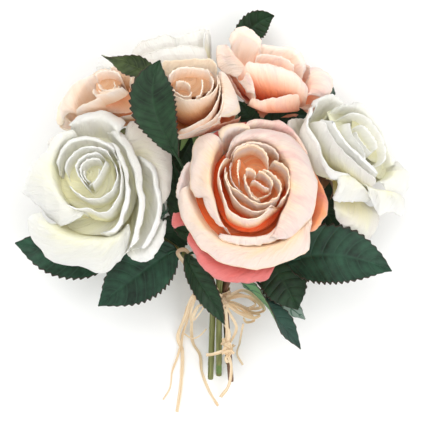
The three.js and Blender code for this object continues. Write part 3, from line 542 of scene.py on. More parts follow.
# %% The petals of the front rose, as drawn
DRAWN = {}
DRAWN["blush_front"] = [
    # the heart
    # painted shade: the lowest heart petal sits in a hollow and is set deep, for the shade there
    petal([(247, 183, 31), (251, 192, 30), (259, 198, 30), (268, 194, 31), (272, 188, 32)], belly=0.4,
        dye=-0.3),
    petal([(249, 181, 35), (254, 180, 36), (260, 183.5, 36), (266.5, 187.5, 35.5), (271, 187, 35)],
        belly=0.4, dye=-0.12),
    petal([(254.5, 176, 35), (254, 172, 36), (250.5, 169, 36.5), (247, 168.5, 36.5), (245.5, 172, 36)],
        belly=0.5, dye=0.15),
    petal([(243, 170, 37), (245, 175, 37), (245.5, 181, 37), (248.5, 187, 36.5), (251, 193, 36),
        (256.5, 198.5, 35.5), (264, 200, 35)], belly=0.7, dye=0.15),
    petal([(272, 187, 35.5), (271.5, 181, 36), (268, 176, 36.5), (262.5, 172, 36.5), (255.5, 171, 36)],
        belly=0.7, dye=0.15),
    petal([(266, 199.5, 35), (276, 197, 36), (280, 191, 36.5), (279.5, 183, 37), (275, 176.5, 37),
        (267, 170.5, 37), (258, 168.5, 36.5)], belly=0.8, dye=0.15),
    petal([(240.5, 157, 37), (238.3, 162, 37.5), (238, 168, 37.5), (238.5, 174, 37), (240, 182, 36)],
        belly=0.7, dye=0.15),
    # the cup
    petal([(269.5, 168, 36.5), (268, 160, 37), (264, 151.5, 37.5), (257, 146, 38), (248, 145, 38),
        (239, 149, 38), (231, 156, 37.5)], belly=0.85, tuck=-0.04, dye=0.15),
    petal([(227, 164, 37.5), (226.5, 172, 37.5), (228.5, 180, 37.5), (232, 186, 37), (240, 191.5, 36.5),
        (248, 197.5, 36), (258, 202.8, 35.5), (267, 202.3, 35.5), (273, 199.8, 36), (278, 196, 36.5)],
        belly=0.85, tuck=-0.04, dye=0.15),
    petal([(276, 201.5, 36), (284, 197, 36.5), (288.5, 188, 37), (289.6, 178, 37.5), (287, 170, 37.5),
        (282, 164.5, 37.5), (275, 161, 37.5), (267.8, 161.5, 37)], tuck=-0.04, dye=0.15),
    petal([(233, 158, 31), (230, 168, 31), (231, 178, 31), (237, 187, 31), (246, 194, 31)], belly=0.8,
        dye=-0.12),
    petal([(227, 158, 38), (225.2, 166, 38), (225.3, 174, 38), (227.5, 181, 38), (230, 187, 37.5),
        (234, 197.5, 37), (239, 203, 36.5), (247, 208, 36), (257.5, 211.2, 35.5), (265.5, 209, 35.5),
        (272.5, 204, 36), (280, 200, 36.5)], tuck=-0.04),
    petal([(280, 161, 37.5), (277.8, 154, 37.8), (273, 149, 38), (266, 145, 38.3), (257, 142.6, 38.5),
        (247, 143, 38.5), (239, 146.6, 38.5), (230, 153.5, 38.3)], belly=0.92, tuck=-0.05),
    petal([(235, 149.5, 38.6), (228, 155.5, 38.5), (221.5, 164, 38.5), (219.4, 174.5, 38.3),
        (220.6, 184, 38), (223.5, 193, 37.6), (225.5, 201, 37.3), (228, 208, 37), (233, 213, 36.6),
        (240, 216.4, 36.2), (249.5, 218.4, 36), (257, 216.8, 36), (265, 212, 36.2), (273, 206, 36.5),
        (281, 200, 37)], belly=0.98, tuck=-0.08),
    # the whorls round the cup
    petal([(265, 240, 20), (276, 229, 25), (282, 214, 30), (288, 200, 34), (291, 184, 36),
        (289.5, 168, 37), (283, 155, 37), (272, 144, 37), (259, 138.5, 37), (246, 139, 36.5),
        (234, 145, 36), (226, 153, 35)],
        [(268, 246, 16), (284, 242, 15), (299, 231, 17), (311, 216, 19), (316.5, 199, 21), (316, 181, 23),
        (312, 165, 25), (305, 150, 26), (294, 138, 28), (279, 132, 29), (262, 129, 30), (247, 130.5, 31),
        (233, 137, 32), (223, 148, 32)], tuck=0.06, arch=0.3, pink=0.22),
    petal([(226, 140, 30), (218, 147, 31), (213.5, 156, 32), (211.5, 168, 32), (211.5, 182, 32),
        (213, 196, 31), (217, 210, 29), (223, 223, 26), (231, 233.5, 23)],
        [(222, 139, 27), (216, 133, 26), (207, 133, 25), (198, 138, 24), (192.5, 147, 24), (191, 160, 24),
        (190, 175, 24), (191, 189, 23), (196, 198, 23), (201.5, 196, 24), (206, 207, 24), (213, 219, 23),
        (222, 230, 21), (230, 235, 20)], tuck=0.05, arch=0.28),
    petal([(219, 233, 20), (230, 235.5, 21), (244, 237, 21), (258, 236.5, 21), (270, 232, 21),
        (279, 224, 21)],
        [(212, 233, 18), (222, 240, 17.5), (236, 244.5, 17), (249, 246, 17), (262, 244.5, 17),
        (274, 241, 17), (288, 232, 17)], belly=0.92, tuck=0.1, arch=0.3),
    petal([(186, 178, 20), (188, 195, 20), (195, 212, 19), (207, 229, 18), (222, 240.5, 17),
        (240, 246, 16), (258, 247, 16), (274, 244, 16), (289, 238, 16), (302, 228, 17), (311, 216, 18)],
        [(179, 180, 16), (176, 195, 14), (180, 212, 12), (189, 232, 10), (203, 250, 8), (220, 262, 7),
        (242, 267.5, 6), (266, 268.5, 6), (285, 262.5, 6), (300, 255, 7), (310.5, 249, 8), (311.5, 237, 9),
        (316, 226, 11)], tuck=0.25, arch=0.3),
    petal([(254, 131, 30), (244, 128, 29), (235, 129, 29), (226, 134, 29), (221, 143, 29)],
        [(253, 128, 28), (245, 123.5, 27), (235, 121, 26), (225, 123, 25), (218.5, 129, 25),
        (220, 140, 26)], belly=0.92, tuck=0.2, dye=0.1),
    petal([(311, 162, 25), (305, 147, 27), (295, 134, 28), (282, 126, 29), (268, 123.5, 29),
        (255, 124, 29), (242, 129, 28)],
        [(310, 156, 23), (303, 139, 24), (293, 126, 25), (283, 120.5, 25), (276.5, 117.5, 25.5),
        (270, 119.5, 25.5), (261, 117, 25.5), (251, 117.5, 25), (240, 124, 25)], belly=0.92, tuck=0.25,
        pink=0.4),
    # the guard petals: pink, and set deeper where they lie under the others, which paints their shade
    petal([(304, 236, 13), (317, 221, 14), (323, 205, 15), (322, 189, 16), (316, 173, 18), (308, 158, 19)],
        [(308, 240, 11), (320, 224, 11), (328, 213, 11), (328, 198, 12), (325, 184, 13), (317, 168, 15),
        (307, 153, 17)], tuck=0.5, pink=0.4, dye=-0.36),
    petal([(192, 159, 19), (186, 170, 18), (181, 181, 17), (178.5, 192, 16), (180, 202, 15)],
        [(190, 158, 17), (183.5, 171, 15), (178, 182, 14), (175.8, 193, 13), (178, 204, 12)], tuck=0.35),
    petal([(183, 228, 3), (194, 246, 2), (208, 262, 1), (228, 272, 0), (250, 274, 0), (268, 271, 1),
        (280, 262, 2)],
        [(181, 229, 1), (191, 248, -1), (203, 267, -2), (216, 278.5, -3), (236, 283, -3.5),
        (258, 281.5, -3), (270, 277, -2), (277, 267, 0)], tuck=0.9, pink=1.3, dye=-0.25),
    petal([(175, 212, 6), (170, 218, 5), (170, 224, 5), (177, 228, 5)],
        [(176, 210.5, 5), (167.5, 217, 4), (166.5, 224, 4), (177, 230, 4)], tuck=0.9, pink=1.3, dye=-0.25),
    petal([(254, 122, 24), (244, 119, 23), (234, 119, 22), (226, 125, 22), (218, 134, 22), (214, 142, 22)],
        [(255, 119, 24), (245, 114.5, 23), (234, 113, 22), (224, 118, 21), (214, 128, 21), (209, 140, 21)],
        tuck=0.6, pink=1.2, dye=-0.3),
]

# %% The petals of the two white roses, as drawn
DRAWN["white_left"] = [
    petal([(86, 186, 33), (92, 183, 33), (98, 175, 33), (98, 166, 33)], belly=0.5, dye=-0.2),
    petal([(85, 168, 33), (84, 174, 33), (87, 180, 33), (91, 182, 33)], belly=0.5, dye=-0.1),
    petal([(103, 162, 35), (96, 158.5, 35), (88, 160, 35), (81.5, 165.5, 35), (81, 173, 34.5),
        (84, 180, 34.5), (88, 185, 34)], belly=0.6, dye=0.1),
    petal([(91, 187, 36), (97, 178.5, 36.5), (102.5, 169, 36.5), (108, 158, 36)], belly=0.6),
    petal([(106, 156, 36.5), (96, 153, 36.5), (85, 156, 36.5), (77, 163, 36.5), (78, 173, 36.5),
        (83, 182, 36.5), (90, 189, 36)], belly=0.7),
    petal([(66, 178, 35), (72, 188, 35), (80, 194.5, 35), (90, 198.5, 35), (101, 197, 35),
        (111, 190, 35.5), (116, 178, 36), (115, 165, 36.5), (110, 157, 36.5)], belly=0.85),
    petal([(114, 160, 37), (106, 151, 37), (94, 147, 37), (81, 148.5, 37), (71, 155, 37), (65, 165, 36.5),
        (65, 176, 36)], belly=0.85),
    petal([(60, 196, 33), (68, 205, 33), (78, 208, 32.5), (88, 207.5, 32.5), (98, 212, 32),
        (107, 211.5, 32), (115, 203, 33), (120, 190, 34), (121, 176, 35), (118, 161, 36), (111, 151, 36)]),
    petal([(118, 158, 34), (112, 150, 34), (102, 143, 34), (90, 139.5, 34), (77, 141, 34), (66, 148, 34),
        (60, 158, 33.5), (58.5, 171, 33)],
        [(120, 156, 32.5), (113, 147, 32), (103, 140.5, 32), (90, 136.5, 32), (76, 138, 32),
        (64, 145.5, 32), (57.5, 157, 31.5), (55.5, 171, 31)], tuck=-0.02),
    petal([(97, 229, 27), (106, 231, 27), (114, 226, 28), (120, 215, 29), (124, 202, 30), (126, 188, 31),
        (124, 173, 31), (119, 158, 31), (112, 146, 31), (104, 139, 30)],
        [(99, 232, 25), (107, 234.5, 25), (117, 230, 26), (124, 217, 27), (128.5, 203, 28), (130, 188, 29),
        (128, 172, 29), (122.5, 156, 29), (115, 144, 29), (105, 136.5, 28)]),
    petal([(121, 136, 26), (114, 127, 27), (104, 121, 28), (92, 120, 28), (80, 122, 27), (70, 126, 26)],
        [(130, 131, 21), (125, 122, 22), (115.5, 115, 24), (106, 108.5, 26), (98, 107.5, 26),
        (86, 112, 25), (73, 120.5, 22), (62, 133, 20)], belly=0.92, tuck=0.15),
    petal([(76, 134, 31), (66, 139, 31), (58, 148, 31), (54, 160, 31), (54, 174, 31), (57, 188, 30),
        (64, 200, 29), (74, 209, 28), (86, 213, 27)],
        [(64, 128.5, 24), (54, 139, 22), (47.5, 148, 20), (42, 160, 18), (34, 164.5, 16), (26.5, 178, 13),
        (22.3, 190.5, 12), (36, 203, 14), (49, 217, 17), (62, 227, 20), (77, 232, 22)], tuck=0.12,
        arch=0.34),
    petal([(122, 257, 14), (131, 243, 18), (135, 228, 21), (137.5, 212, 23), (138, 196, 24),
        (136, 180, 25), (131, 164, 25), (124, 148, 25), (114, 135, 25), (106, 128, 25)],
        [(126, 260, 12), (135.5, 245, 15), (141, 229, 18), (143.5, 212, 20), (144, 195, 21),
        (142.5, 177, 22), (138, 161, 22), (131, 145, 22), (121, 131, 22), (108, 124, 22)], tuck=0.05),
    petal([(52, 224, 20), (63, 231, 20), (77, 236, 20), (92, 238, 20), (107, 238, 20), (120, 233, 21),
        (128, 224, 22)],
        [(40, 206, 10), (28, 218, 7), (30, 234, 5), (42, 251, 3), (55, 263, 2), (72, 265.5, 2),
        (87, 268, 1), (97, 273, 0), (106, 272, 0), (114, 265.5, 2), (124, 259.5, 5), (133, 246, 10)],
        tuck=0.25, arch=0.3),
    petal([(133, 253, 8), (144, 243, 10), (152, 230, 12), (156, 215, 14), (157, 200, 15), (155, 185, 16),
        (151, 172, 16), (144, 162, 17), (137, 152, 18)],
        [(136, 257, 6), (148, 246, 7), (157, 232, 9), (161, 216, 11), (161.5, 200, 12), (159, 184, 13),
        (156, 171, 13), (151, 162.5, 13), (142, 156, 15)], belly=0.92, tuck=0.1),
    petal([(126, 256, 2), (138, 254, 3), (150, 245, 4), (158, 233, 5), (163, 220, 6)],
        [(127, 260, -1), (139, 261.5, -2), (148.5, 260.5, -2), (157, 252, -1), (164, 241.5, 0),
        (166.5, 229, 2), (165.5, 211, 5)], belly=0.92, tuck=0.4),
    petal([(162, 208, 7), (160, 190, 8), (156, 173, 9), (149, 158, 10), (141, 146, 14), (131, 138, 19),
        (124, 132, 21)],
        [(169, 208, 3), (173, 188, 3), (173, 170, 3), (169.5, 148, 4), (160, 133.5, 5), (152, 125, 7),
        (145, 119.5, 10), (138, 118.5, 14), (129, 120, 18), (121, 127, 20)], belly=0.92, tuck=0.5,
        pink=0.9),
    petal([(58, 139, 12), (52, 142, 11), (49, 147, 11)],
        [(57, 136, 10), (50, 139, 9), (46, 146, 9)], tuck=0.5, pink=0.9),
]
DRAWN["white_right"] = [
    petal([(356, 128, 35), (358, 136, 35), (363, 143, 35), (369, 150, 35), (374, 155, 34.5)], belly=0.6),
    petal([(377, 152, 35), (376.5, 143, 35.5), (371, 134, 35.5), (364, 127, 35.5), (357, 125, 35.5)],
        belly=0.7),
    petal([(351, 117, 35), (350.5, 126, 35.5), (353.5, 136, 35.5), (359.6, 144, 35.5), (365, 152, 35),
        (366.5, 160, 34.5), (372, 165, 34), (378.5, 165, 33.5)], belly=0.8),
    petal([(378, 166, 33), (384.5, 160, 33), (386, 150, 34), (382, 138, 34), (375, 127, 34),
        (367, 118, 34), (357, 113.5, 34), (346, 113, 34)], belly=0.88),
    petal([(330, 113, 33.5), (335, 123, 34.5), (342, 135, 35), (351.4, 146, 35), (361.6, 155.8, 34.5),
        (371, 165, 34), (383, 177, 32)],
        [(328, 114, 33), (333, 124.5, 33.5), (340, 137, 34), (349.5, 148, 34), (360, 158.2, 33.5),
        (369.5, 167.5, 33), (381.5, 180, 31)]),
    petal([(318, 112, 28), (324, 120, 30), (331, 133, 31), (338, 144, 31.5), (347, 154, 31.5),
        (358, 164, 31), (370, 174, 30), (384, 186, 28)], steep=2.0, pink=0.6),
    petal([(392, 166, 28), (390, 157, 29), (385, 143, 30), (378, 129, 30), (369, 117, 30), (359, 109, 29),
        (348, 107, 29), (337, 107, 29)],
        [(397, 162, 24), (387.5, 154.5, 25), (382, 141, 26), (378.5, 128.5, 26), (370, 113.5, 26),
        (363, 104.5, 25), (356.5, 102, 24), (350, 104.5, 25), (337, 103, 25)], tuck=0.1),
    petal([(344, 108, 25), (337, 102, 24), (329, 98, 23), (321, 100, 23), (316, 108, 23)],
        [(345, 104, 22), (337, 97, 20), (329, 92.2, 18), (321, 94.5, 17), (314, 100, 17),
        (310.5, 111, 18)], tuck=0.2),
    petal([(318, 100, 20), (310.5, 116, 22), (307.5, 133, 23), (311, 145.5, 23), (318, 157.5, 22),
        (326, 166, 21), (336, 171, 20), (347, 173.5, 19), (358, 176, 18)],
        [(314, 99, 17), (306.5, 117, 19), (303.5, 135, 19), (306.5, 149, 19), (313, 163, 18),
        (322, 173, 17), (331, 178.5, 16), (343, 181, 15), (355, 182, 14)], belly=0.92, tuck=0.05,
        arch=0.3),
    petal([(379, 182, 24), (388, 178, 25), (393.5, 171, 26), (395, 162, 26)],
        [(381, 192, 19), (389, 196, 17), (400.4, 197.3, 15), (408.6, 188, 15), (409.8, 179, 15),
        (402.5, 170, 17), (395, 159.5, 21)], tuck=0.2),
    petal([(364, 184, 20), (372, 188, 20), (381, 190, 20), (390, 192, 19)],
        [(367, 206, 10), (375, 208, 9), (380, 215.5, 6), (391, 211.5, 6), (401.4, 215.5, 4),
        (404.8, 206, 6), (396, 199, 12)], tuck=0.25),
    petal([(337, 175, 18), (345, 175.5, 19), (352, 177, 19.5), (360, 184, 19), (368, 194, 17)],
        [(333, 190, 9), (334, 200.5, 7), (345, 201.5, 7), (357.6, 201.5, 7), (366, 202, 8), (374, 204, 9)],
        tuck=0.25),
    petal([(334, 206, 0), (345, 207, 0), (357, 208, 0), (368, 206, 1)],
        [(331, 214, -6), (338, 221, -8), (350, 232, -10), (362, 239, -11), (371, 237, -11),
        (377, 229, -10), (378.5, 218, -8), (375, 206, -4)], tuck=0.6, dye=-0.12, pink=0.6),
    petal([(308, 122, 3), (300, 119, 2), (292, 118, 2), (288, 121, 2), (290, 130, 2)],
        [(309, 118, 2), (300, 116, 1), (291, 115.5, 0), (285, 118, 0), (287, 129, 0)], tuck=0.5, dye=-0.1,
        pink=0.9),
]

# %% The petals of the peach rose and the white one behind, as drawn
DRAWN["peach_top"] = [
    petal([(255, 60, 62), (262, 66, 66), (275, 66, 67), (288, 70, 65), (294, 76, 62)], belly=0.6),
    petal([(296, 72, 58), (291, 63, 56), (281, 57, 55), (269, 54.5, 55), (259, 56, 57), (254, 62, 60)],
        belly=0.7),
    petal([(241, 60, 72), (250, 61.5, 77), (262, 63, 80), (275, 65.5, 81), (288, 69.5, 80),
        (298, 75.5, 76), (306, 84, 70), (313, 93, 63)], belly=0.95, tuck=-0.02, pink=0.05),
    petal([(247, 98, 70), (258, 99.5, 77), (271, 100.5, 81), (285, 100.5, 81), (298, 99.5, 77),
        (309, 98, 70)], belly=1.25, tuck=0.0, steep=1.5, dye=-0.12, pink=0.1),
    petal([(245, 100, 60), (250, 110, 57), (262, 117, 55), (278, 120.5, 54), (294, 119.5, 54),
        (307, 113, 55), (313, 103, 58)], belly=1.0, steep=1.2, dye=-0.42, pink=0.3),
    petal([(228, 46, 58), (236, 58, 65), (245, 68, 71), (252, 81, 76), (256, 96, 77)],
        [(219, 42, 52), (213, 50, 50), (214, 61, 51), (222, 71.5, 57), (235, 77.5, 64), (244, 89, 69),
        (252, 101, 72)], belly=0.95, tuck=0.1, pink=0.15, dye=0.12),
    petal([(298, 114, 50), (311, 109, 50), (324, 102, 50), (334, 93, 49)], belly=1.0, steep=0.9, dye=0.05),
    petal([(226, 66, 58), (232, 80, 60), (239, 92, 61), (247, 104, 60), (255, 113, 58)], belly=1.0,
        steep=1.3, dye=-0.25, pink=0.2),
    petal([(262, 50, 49), (257, 42, 46), (250, 36, 45), (241, 34, 45), (234, 39, 47), (229, 48, 50)],
        [(265, 43, 45), (259, 36.5, 42), (250, 29, 41), (240, 27.3, 41), (231, 33, 43), (227, 45, 47)],
        belly=0.85, tuck=0.1, dye=0.15),
    petal([(305, 76, 52), (302, 66, 49), (297, 56, 47), (288, 50.5, 46), (272, 49, 46), (256, 47, 47)],
        [(308, 74.5, 50), (305.5, 64, 46), (300, 53, 44), (290, 47.5, 43), (272, 46, 43), (255, 43.5, 44)],
        belly=0.85, tuck=0.1),
    petal([(309, 97, 64), (311, 87, 62), (309, 77, 58)],
        [(318, 101, 58), (329, 97, 55), (334, 87, 53), (330, 76, 50), (320, 68.5, 49), (307, 68, 51)],
        belly=0.95, tuck=0.2, pink=0.3),
    petal([(306, 118, 52), (319, 108, 49), (325, 94, 46), (322, 79, 44), (312, 68, 43), (300, 62, 43)],
        belly=1.0, round=0.08, dye=-0.02, pink=0.25),
    petal([(226, 52, 48), (221, 57, 48), (219, 63, 50), (222, 70, 54)],
        [(222, 46, 44), (212.5, 48, 42), (211, 57, 43), (215, 68, 48)], belly=0.95, tuck=0.3, pink=1.0,
        dye=-0.25),
]
DRAWN["white_back"] = [
    # painted shade: these petals take much of the white cloth's greyer second tint
    petal([(137, 60, 46), (146, 53.5, 53), (158, 50, 58), (172, 46.5, 60), (186, 45.5, 60), (200, 47, 57),
        (211, 50, 50)], belly=1.0, dye=0.25, pink=0.7),
    petal([(129.5, 55, 36), (137, 45, 41), (153, 37.5, 46), (166, 35, 48), (175, 37, 48), (179, 44, 51)],
        belly=0.95, dye=0.25, pink=0.7),
    petal([(176, 41, 48), (183, 34.5, 46), (195, 31.5, 44), (204, 28, 42), (209, 30, 40), (212, 40, 40)],
        belly=0.95, dye=0.25, pink=0.7),
    petal([(203, 44, 50), (204, 36, 47), (206, 31, 44), (211, 36, 42)]),
    petal([(211, 46, 26), (208, 33, 23), (196, 34, 20), (180, 36, 19), (160, 38, 19), (145, 43, 21),
        (133, 54, 25)], dye=0.25),
    petal([(128, 62, 42), (121, 66, 43), (116, 73, 44)],
        [(113, 57, 38), (107, 55, 36), (100, 58.8, 35), (96.5, 67, 35), (98, 76, 36)], belly=0.95,
        tuck=0.3),
    petal([(147, 76, 12), (160, 80, 6), (176, 80, 5), (190, 74, 8)],
        [(144, 72, 8), (158, 74, 2), (178, 74, 1.5), (194, 69, 4)], tuck=0.3),
    petal([(205, 62, 40), (206, 56, 32), (202, 50, 25)],
        [(208, 60, 40), (210, 52, 32), (206, 46, 24)], tuck=0.3),
]

# %% The petals of the two buds, as drawn
DRAWN["peach_middle"] = [
    petal([(172, 85, 35), (177, 92, 34.5), (184, 95.5, 34), (190.6, 95, 34), (190.8, 88, 35)], belly=0.6),
    petal([(190.5, 88, 35), (187, 83, 35.5), (180, 81, 35.5), (175, 84, 35)], belly=0.6),
    petal([(194, 96.5, 34), (200, 95, 34.5), (202, 86, 35.5), (201.7, 77, 36)], belly=0.6),
    petal([(204, 94.5, 34.5), (210, 89, 35), (212.5, 80, 35.5), (210, 74, 36)], belly=0.7),
    petal([(214, 76, 35.5), (209, 71, 36), (200, 68.5, 36.5), (190, 67.5, 36.5), (179.5, 68, 36.5),
        (170.5, 73, 36), (168.5, 81, 35.5)], belly=0.8),
    petal([(169, 81, 36), (173.5, 93, 35), (183, 98.6, 34), (194.3, 99.5, 34), (205.4, 96, 34.5),
        (214.6, 88.4, 35), (217.4, 76, 36), (213, 69, 36)], belly=0.98, tuck=-0.04),
    petal([(175, 126, 15), (183, 131, 15), (192.4, 133, 16), (203.5, 124, 21), (212.8, 109, 27),
        (218.3, 94, 31), (219, 81, 33), (217.4, 69, 34)], belly=1.0, tuck=0.0, pink=0.3),
    petal([(174, 135, 9), (186, 139.5, 9), (198, 138.5, 11), (212, 127.5, 17), (219.5, 113, 24),
        (222, 98, 29), (221, 84, 32)], belly=1.0, tuck=0.0, pink=0.5),
    petal([(174, 140, 4), (186, 143.5, 5), (197, 143.5, 6), (207, 140, 8), (217, 131, 12), (223, 118, 17)],
        belly=1.0, pink=0.7),
    # the two lowest petals are set deep, which partly paints the shade under the bud
    petal([(212, 141, 9), (221, 134, 10), (231, 126, 10), (241, 119, 10), (247, 112, 11)], belly=1.0,
        steep=1.2, dye=-0.45, pink=1.0),
    petal([(204, 140, 6), (214, 135, 6), (226, 125, 6), (238, 114, 7), (244, 105, 8)], belly=1.0,
        steep=1.0, dye=-0.5, pink=1.0, round=0.1),
    petal([(220, 124, 18), (222, 110, 24), (222.5, 95, 28), (221, 80, 31), (219, 73, 32)],
        [(222, 126, 16), (231, 119, 15), (243, 111, 14), (248, 98, 14), (243, 84, 16), (234, 74.5, 19),
        (219, 71.5, 26)], belly=0.95, tuck=0.05, dye=0.1),
    petal([(218, 73, 31), (214.5, 61, 29), (208.5, 50, 26), (194.3, 48.5, 25), (179.5, 47.5, 25),
        (166, 49.5, 25), (162, 58, 27), (163, 69, 30)], steep=1.0, dye=0.2),
    petal([(164, 72, 30), (164, 84, 29), (166, 98, 26), (170, 112, 21), (175, 124, 15)], belly=0.98),
]
DRAWN["peach_left"] = [
    petal([(101, 80, 35.5), (99.5, 86, 35), (104, 92, 34), (111, 92, 34), (114, 85, 35), (111, 79, 35.5)],
        belly=0.6),
    petal([(97, 89, 34), (102, 96, 33), (110, 97, 33), (117, 92, 34), (119, 84, 35)], belly=0.7),
    petal([(121, 79, 35), (116.6, 72.5, 35.5), (105.5, 70, 36), (96.5, 73, 35.5), (94, 80, 35)], belly=0.8),
    petal([(94, 83, 34), (92.8, 93, 33), (96, 100.5, 32), (104, 102, 32), (114.7, 97.7, 33), (122, 92, 34),
        (126, 87.5, 34.5)], belly=0.95),
    petal([(128, 88, 33), (131, 79, 33), (130, 68.5, 32), (124, 61.3, 31), (115.5, 63, 31), (111, 70, 32)]),
    petal([(70, 117.5, 19), (78, 112.5, 23), (90.7, 106, 27), (102, 104, 29), (115, 99, 31),
        (126, 90, 33)], belly=1.05, pink=0.2),
    petal([(96, 77, 31), (88, 83, 29), (80, 93, 26), (75, 105, 23), (74, 120, 18)],
        [(91, 78, 27), (76, 86.5, 20), (65, 99, 15), (58.5, 113, 12), (57.5, 124, 10), (61, 137, 7)],
        belly=0.92, tuck=0.1, arch=0.34, dye=0.12, round=0.08),
    petal([(62, 112, 9), (60, 122, 7), (62, 132, 6), (72, 140, 5), (86, 142, 4)], belly=1.0, round=0.1,
        dye=0.1),
    petal([(70, 100, 16), (66, 109, 13), (67, 118, 11), (76, 126, 9), (88, 128, 9)], belly=1.0, round=0.05,
        dye=0.05),
    petal([(106, 114, 20), (116, 112, 22), (125, 104, 25), (130, 94, 28), (130, 86, 30)],
        [(104, 128, 13), (116, 136, 11), (129, 137, 10), (136, 124, 12), (135.5, 109, 15), (132, 97, 20),
        (131, 86, 27)], belly=0.95, tuck=0.15, pink=0.6, dye=-0.38),
    petal([(113, 66, 30), (104, 67, 29), (96, 71, 28), (90, 78, 27)]),
    petal([(72, 122, 9), (84, 129, 8), (98, 134, 7), (112, 137, 7), (126, 136, 8), (133, 128, 10)],
        belly=1.0, round=0.1),
]
print("drawn petals:", sum(len(petals) for petals in DRAWN.values()))

# %% [markdown]
# ## Packed hearts
# Down inside a rose the petals lie so close that no eye sees between them. Where the drawn petals stand
# apart, the gaps would go black. So each heart is packed with shallow discs of the same cloth, one under
# another. They catch the light that comes through the petals, and the gaps glow in the dye's colour. The
# discs take colours from deep in the dye, which paints the shade down between the petals.

# %% The packing's outlines
PACKING = {
    "blush_front": [
        dict(line=[(235, 153), (226, 164), (224, 176), (228, 190), (232, 203), (242, 211), (257, 211),
            (270, 203), (282, 193), (285, 178), (280, 163), (267, 150), (250, 147)], height=22, dye=0.41),
        dict(line=[(224, 155), (214, 168), (213, 186), (217, 205), (226, 222), (240, 231), (258, 231),
            (274, 221), (284, 205), (289, 185), (285, 161), (272, 147), (255, 141), (237, 146)], height=19,
            dye=0.2),
        dict(line=[(214, 140), (196, 150), (190, 175), (193, 198), (203, 222), (222, 240), (250, 245),
            (282, 237), (304, 215), (311, 185), (304, 155), (284, 133), (250, 128)], height=12, dye=0.3),
    ],
    "white_left": [
        dict(line=[(66, 165), (66, 180), (73, 191), (86, 198), (100, 198), (111, 190), (116, 177),
            (111, 160), (99, 150), (84, 149), (72, 155)], height=24, dye=0.42),
        dict(line=[(60, 162), (60, 185), (66, 200), (80, 210), (96, 220), (110, 219), (120, 207),
            (126, 190), (124, 170), (115, 152), (100, 142), (80, 141), (66, 149)], height=20, dye=0.4),
        dict(line=[(50, 160), (52, 188), (58, 212), (72, 230), (92, 235), (112, 233), (126, 222),
            (136, 200), (135, 175), (126, 150), (105, 130), (80, 128), (60, 140)], height=13, dye=0.5),
    ],
    "white_right": [
        dict(line=[(352, 118), (352, 134), (361, 149), (371, 161), (381, 162), (384, 150), (379, 136),
            (367, 121)], height=25, dye=0.4),
        dict(line=[(327, 112), (333, 130), (342, 147), (355, 159), (369, 171), (382, 180), (390, 168),
            (386, 148), (375, 125), (360, 110), (340, 108)], height=20, dye=0.5),
    ],
    "peach_middle": [
        dict(line=[(171, 80), (175, 92), (186, 97), (200, 96), (212, 88), (214, 77), (205, 70), (190, 68),
            (176, 71)], height=26, dye=0.45),
    ],
    "peach_left": [
        dict(line=[(96, 83), (97, 94), (106, 98), (117, 91), (122, 82), (117, 72), (106, 69), (98, 74)],
            height=26, dye=0.45),
    ],
}
PETAL_CLOTH = 0.42  # mm, two layers of starched cloth and the glue between them
PACK_PIECES, PACK_RISE = 60, 2  # round a disc, and how many mm its middle stands up


def packed_heart(name, pack):
    """A shallow disc of cloth inside a rose, within its drawn outline, a little fuller in the middle."""
    outline = [(x, y, pack["height"]) for x, y in pack["line"] + pack["line"][:1]]
    ring = drawn_line(name, outline, PACK_PIECES)
    share = np.linspace(1, 0.02, 10)[:, None, None]
    middle = ring.mean(axis=0)
    points = middle + (ring - middle) * share + [0, 0, PACK_RISE] * (1 - share**2)
    wide = run_across(points)
    side = np.broadcast_to(np.linspace(0, 1, PACK_PIECES + 1), wide.shape)
    fields = dict(across_mm=wide, along_mm=wide * 0.3, tone=0.6, pink=0.0)
    return points, np.stack([side, side * 0 + pack["dye"]], -1), fields


print("packing discs:", sum(len(packs) for packs in PACKING.values()))


# %% Cutting and setting the petals
CORE = np.array([(0.01, -2.2), (5.4, -2.2), (6.6, -0.6), (6.2, 1.6), (4.2, 5), (2.4, 9), (0.01, 10)])
CORE_STEP = 1e-4  # mm, so that no two rings of the core lie at one height
CORE_DYE = 0.4


def petal_patch(name, shape, seed, tone):
    """One petal as a patch, in its place in the bunch."""
    points, share, run = drawn_petal(name, shape, seed)
    points = pressed(name, placing(ROSES[name]["foot"], ROSES[name]["facing"])(points))
    fields = dict(across_mm=run_across(points), along_mm=run, tone=tone, pink=shape["pink"])
    # painted shade: a petal's dye offset moves it along its colour ramp, deeper for petals in shade
    height = np.clip(1 - (1 - share) * shape["steep"] + shape["dye"], 0, 1)
    side = np.broadcast_to(np.linspace(0, 1, ACROSS + 1), share.shape)
    return cloth(points, PETAL_CLOTH, np.stack([side, height], -1), fields)


def rose_core(name, size):
    """The small core that all petals are glued to, as a patch in its place."""
    out, height = (CORE * size).T
    line = np.stack([out * 0, out * 0, height], -1) + [[0, 0, CORE_STEP * k] for k in range(len(CORE))]
    core = rod(line, out, 20)
    core["points"] = pressed(name, placing(ROSES[name]["foot"], ROSES[name]["facing"])(core["points"]))
    core["uv"] = core["uv"] * 0 + CORE_DYE
    core["fields"] = {}
    return core


def rose_piece(name, rose):
    """A whole rose: each petal its own piece of cloth, round a small core that closes the foot."""
    place_it = placing(rose["foot"], rose["facing"])
    patches = []
    for i, shape in enumerate(DRAWN[name]):
        patches.append(petal_patch(name, shape, rose["seed"] + i, between(rose["seed"], i, 9, 0, 1)))
    for pack in PACKING.get(name, []):
        points, own, fields = packed_heart(name, pack)
        patches.append(cloth(pressed(name, place_it(points)), PETAL_CLOTH, own, fields))
    patches.append(rose_core(name, rose["size"]))
    piece = make_piece(f"rose_{name}", patches, [PETAL_CLOTHS[rose["cloth"]]])
    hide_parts(f"bloom_{name}")
    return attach(piece, "root")


rose_pieces = {name: rose_piece(name, rose) for name, rose in ROSES.items()}
print("faces of the front rose:", len(rose_pieces["blush_front"].data.polygons))

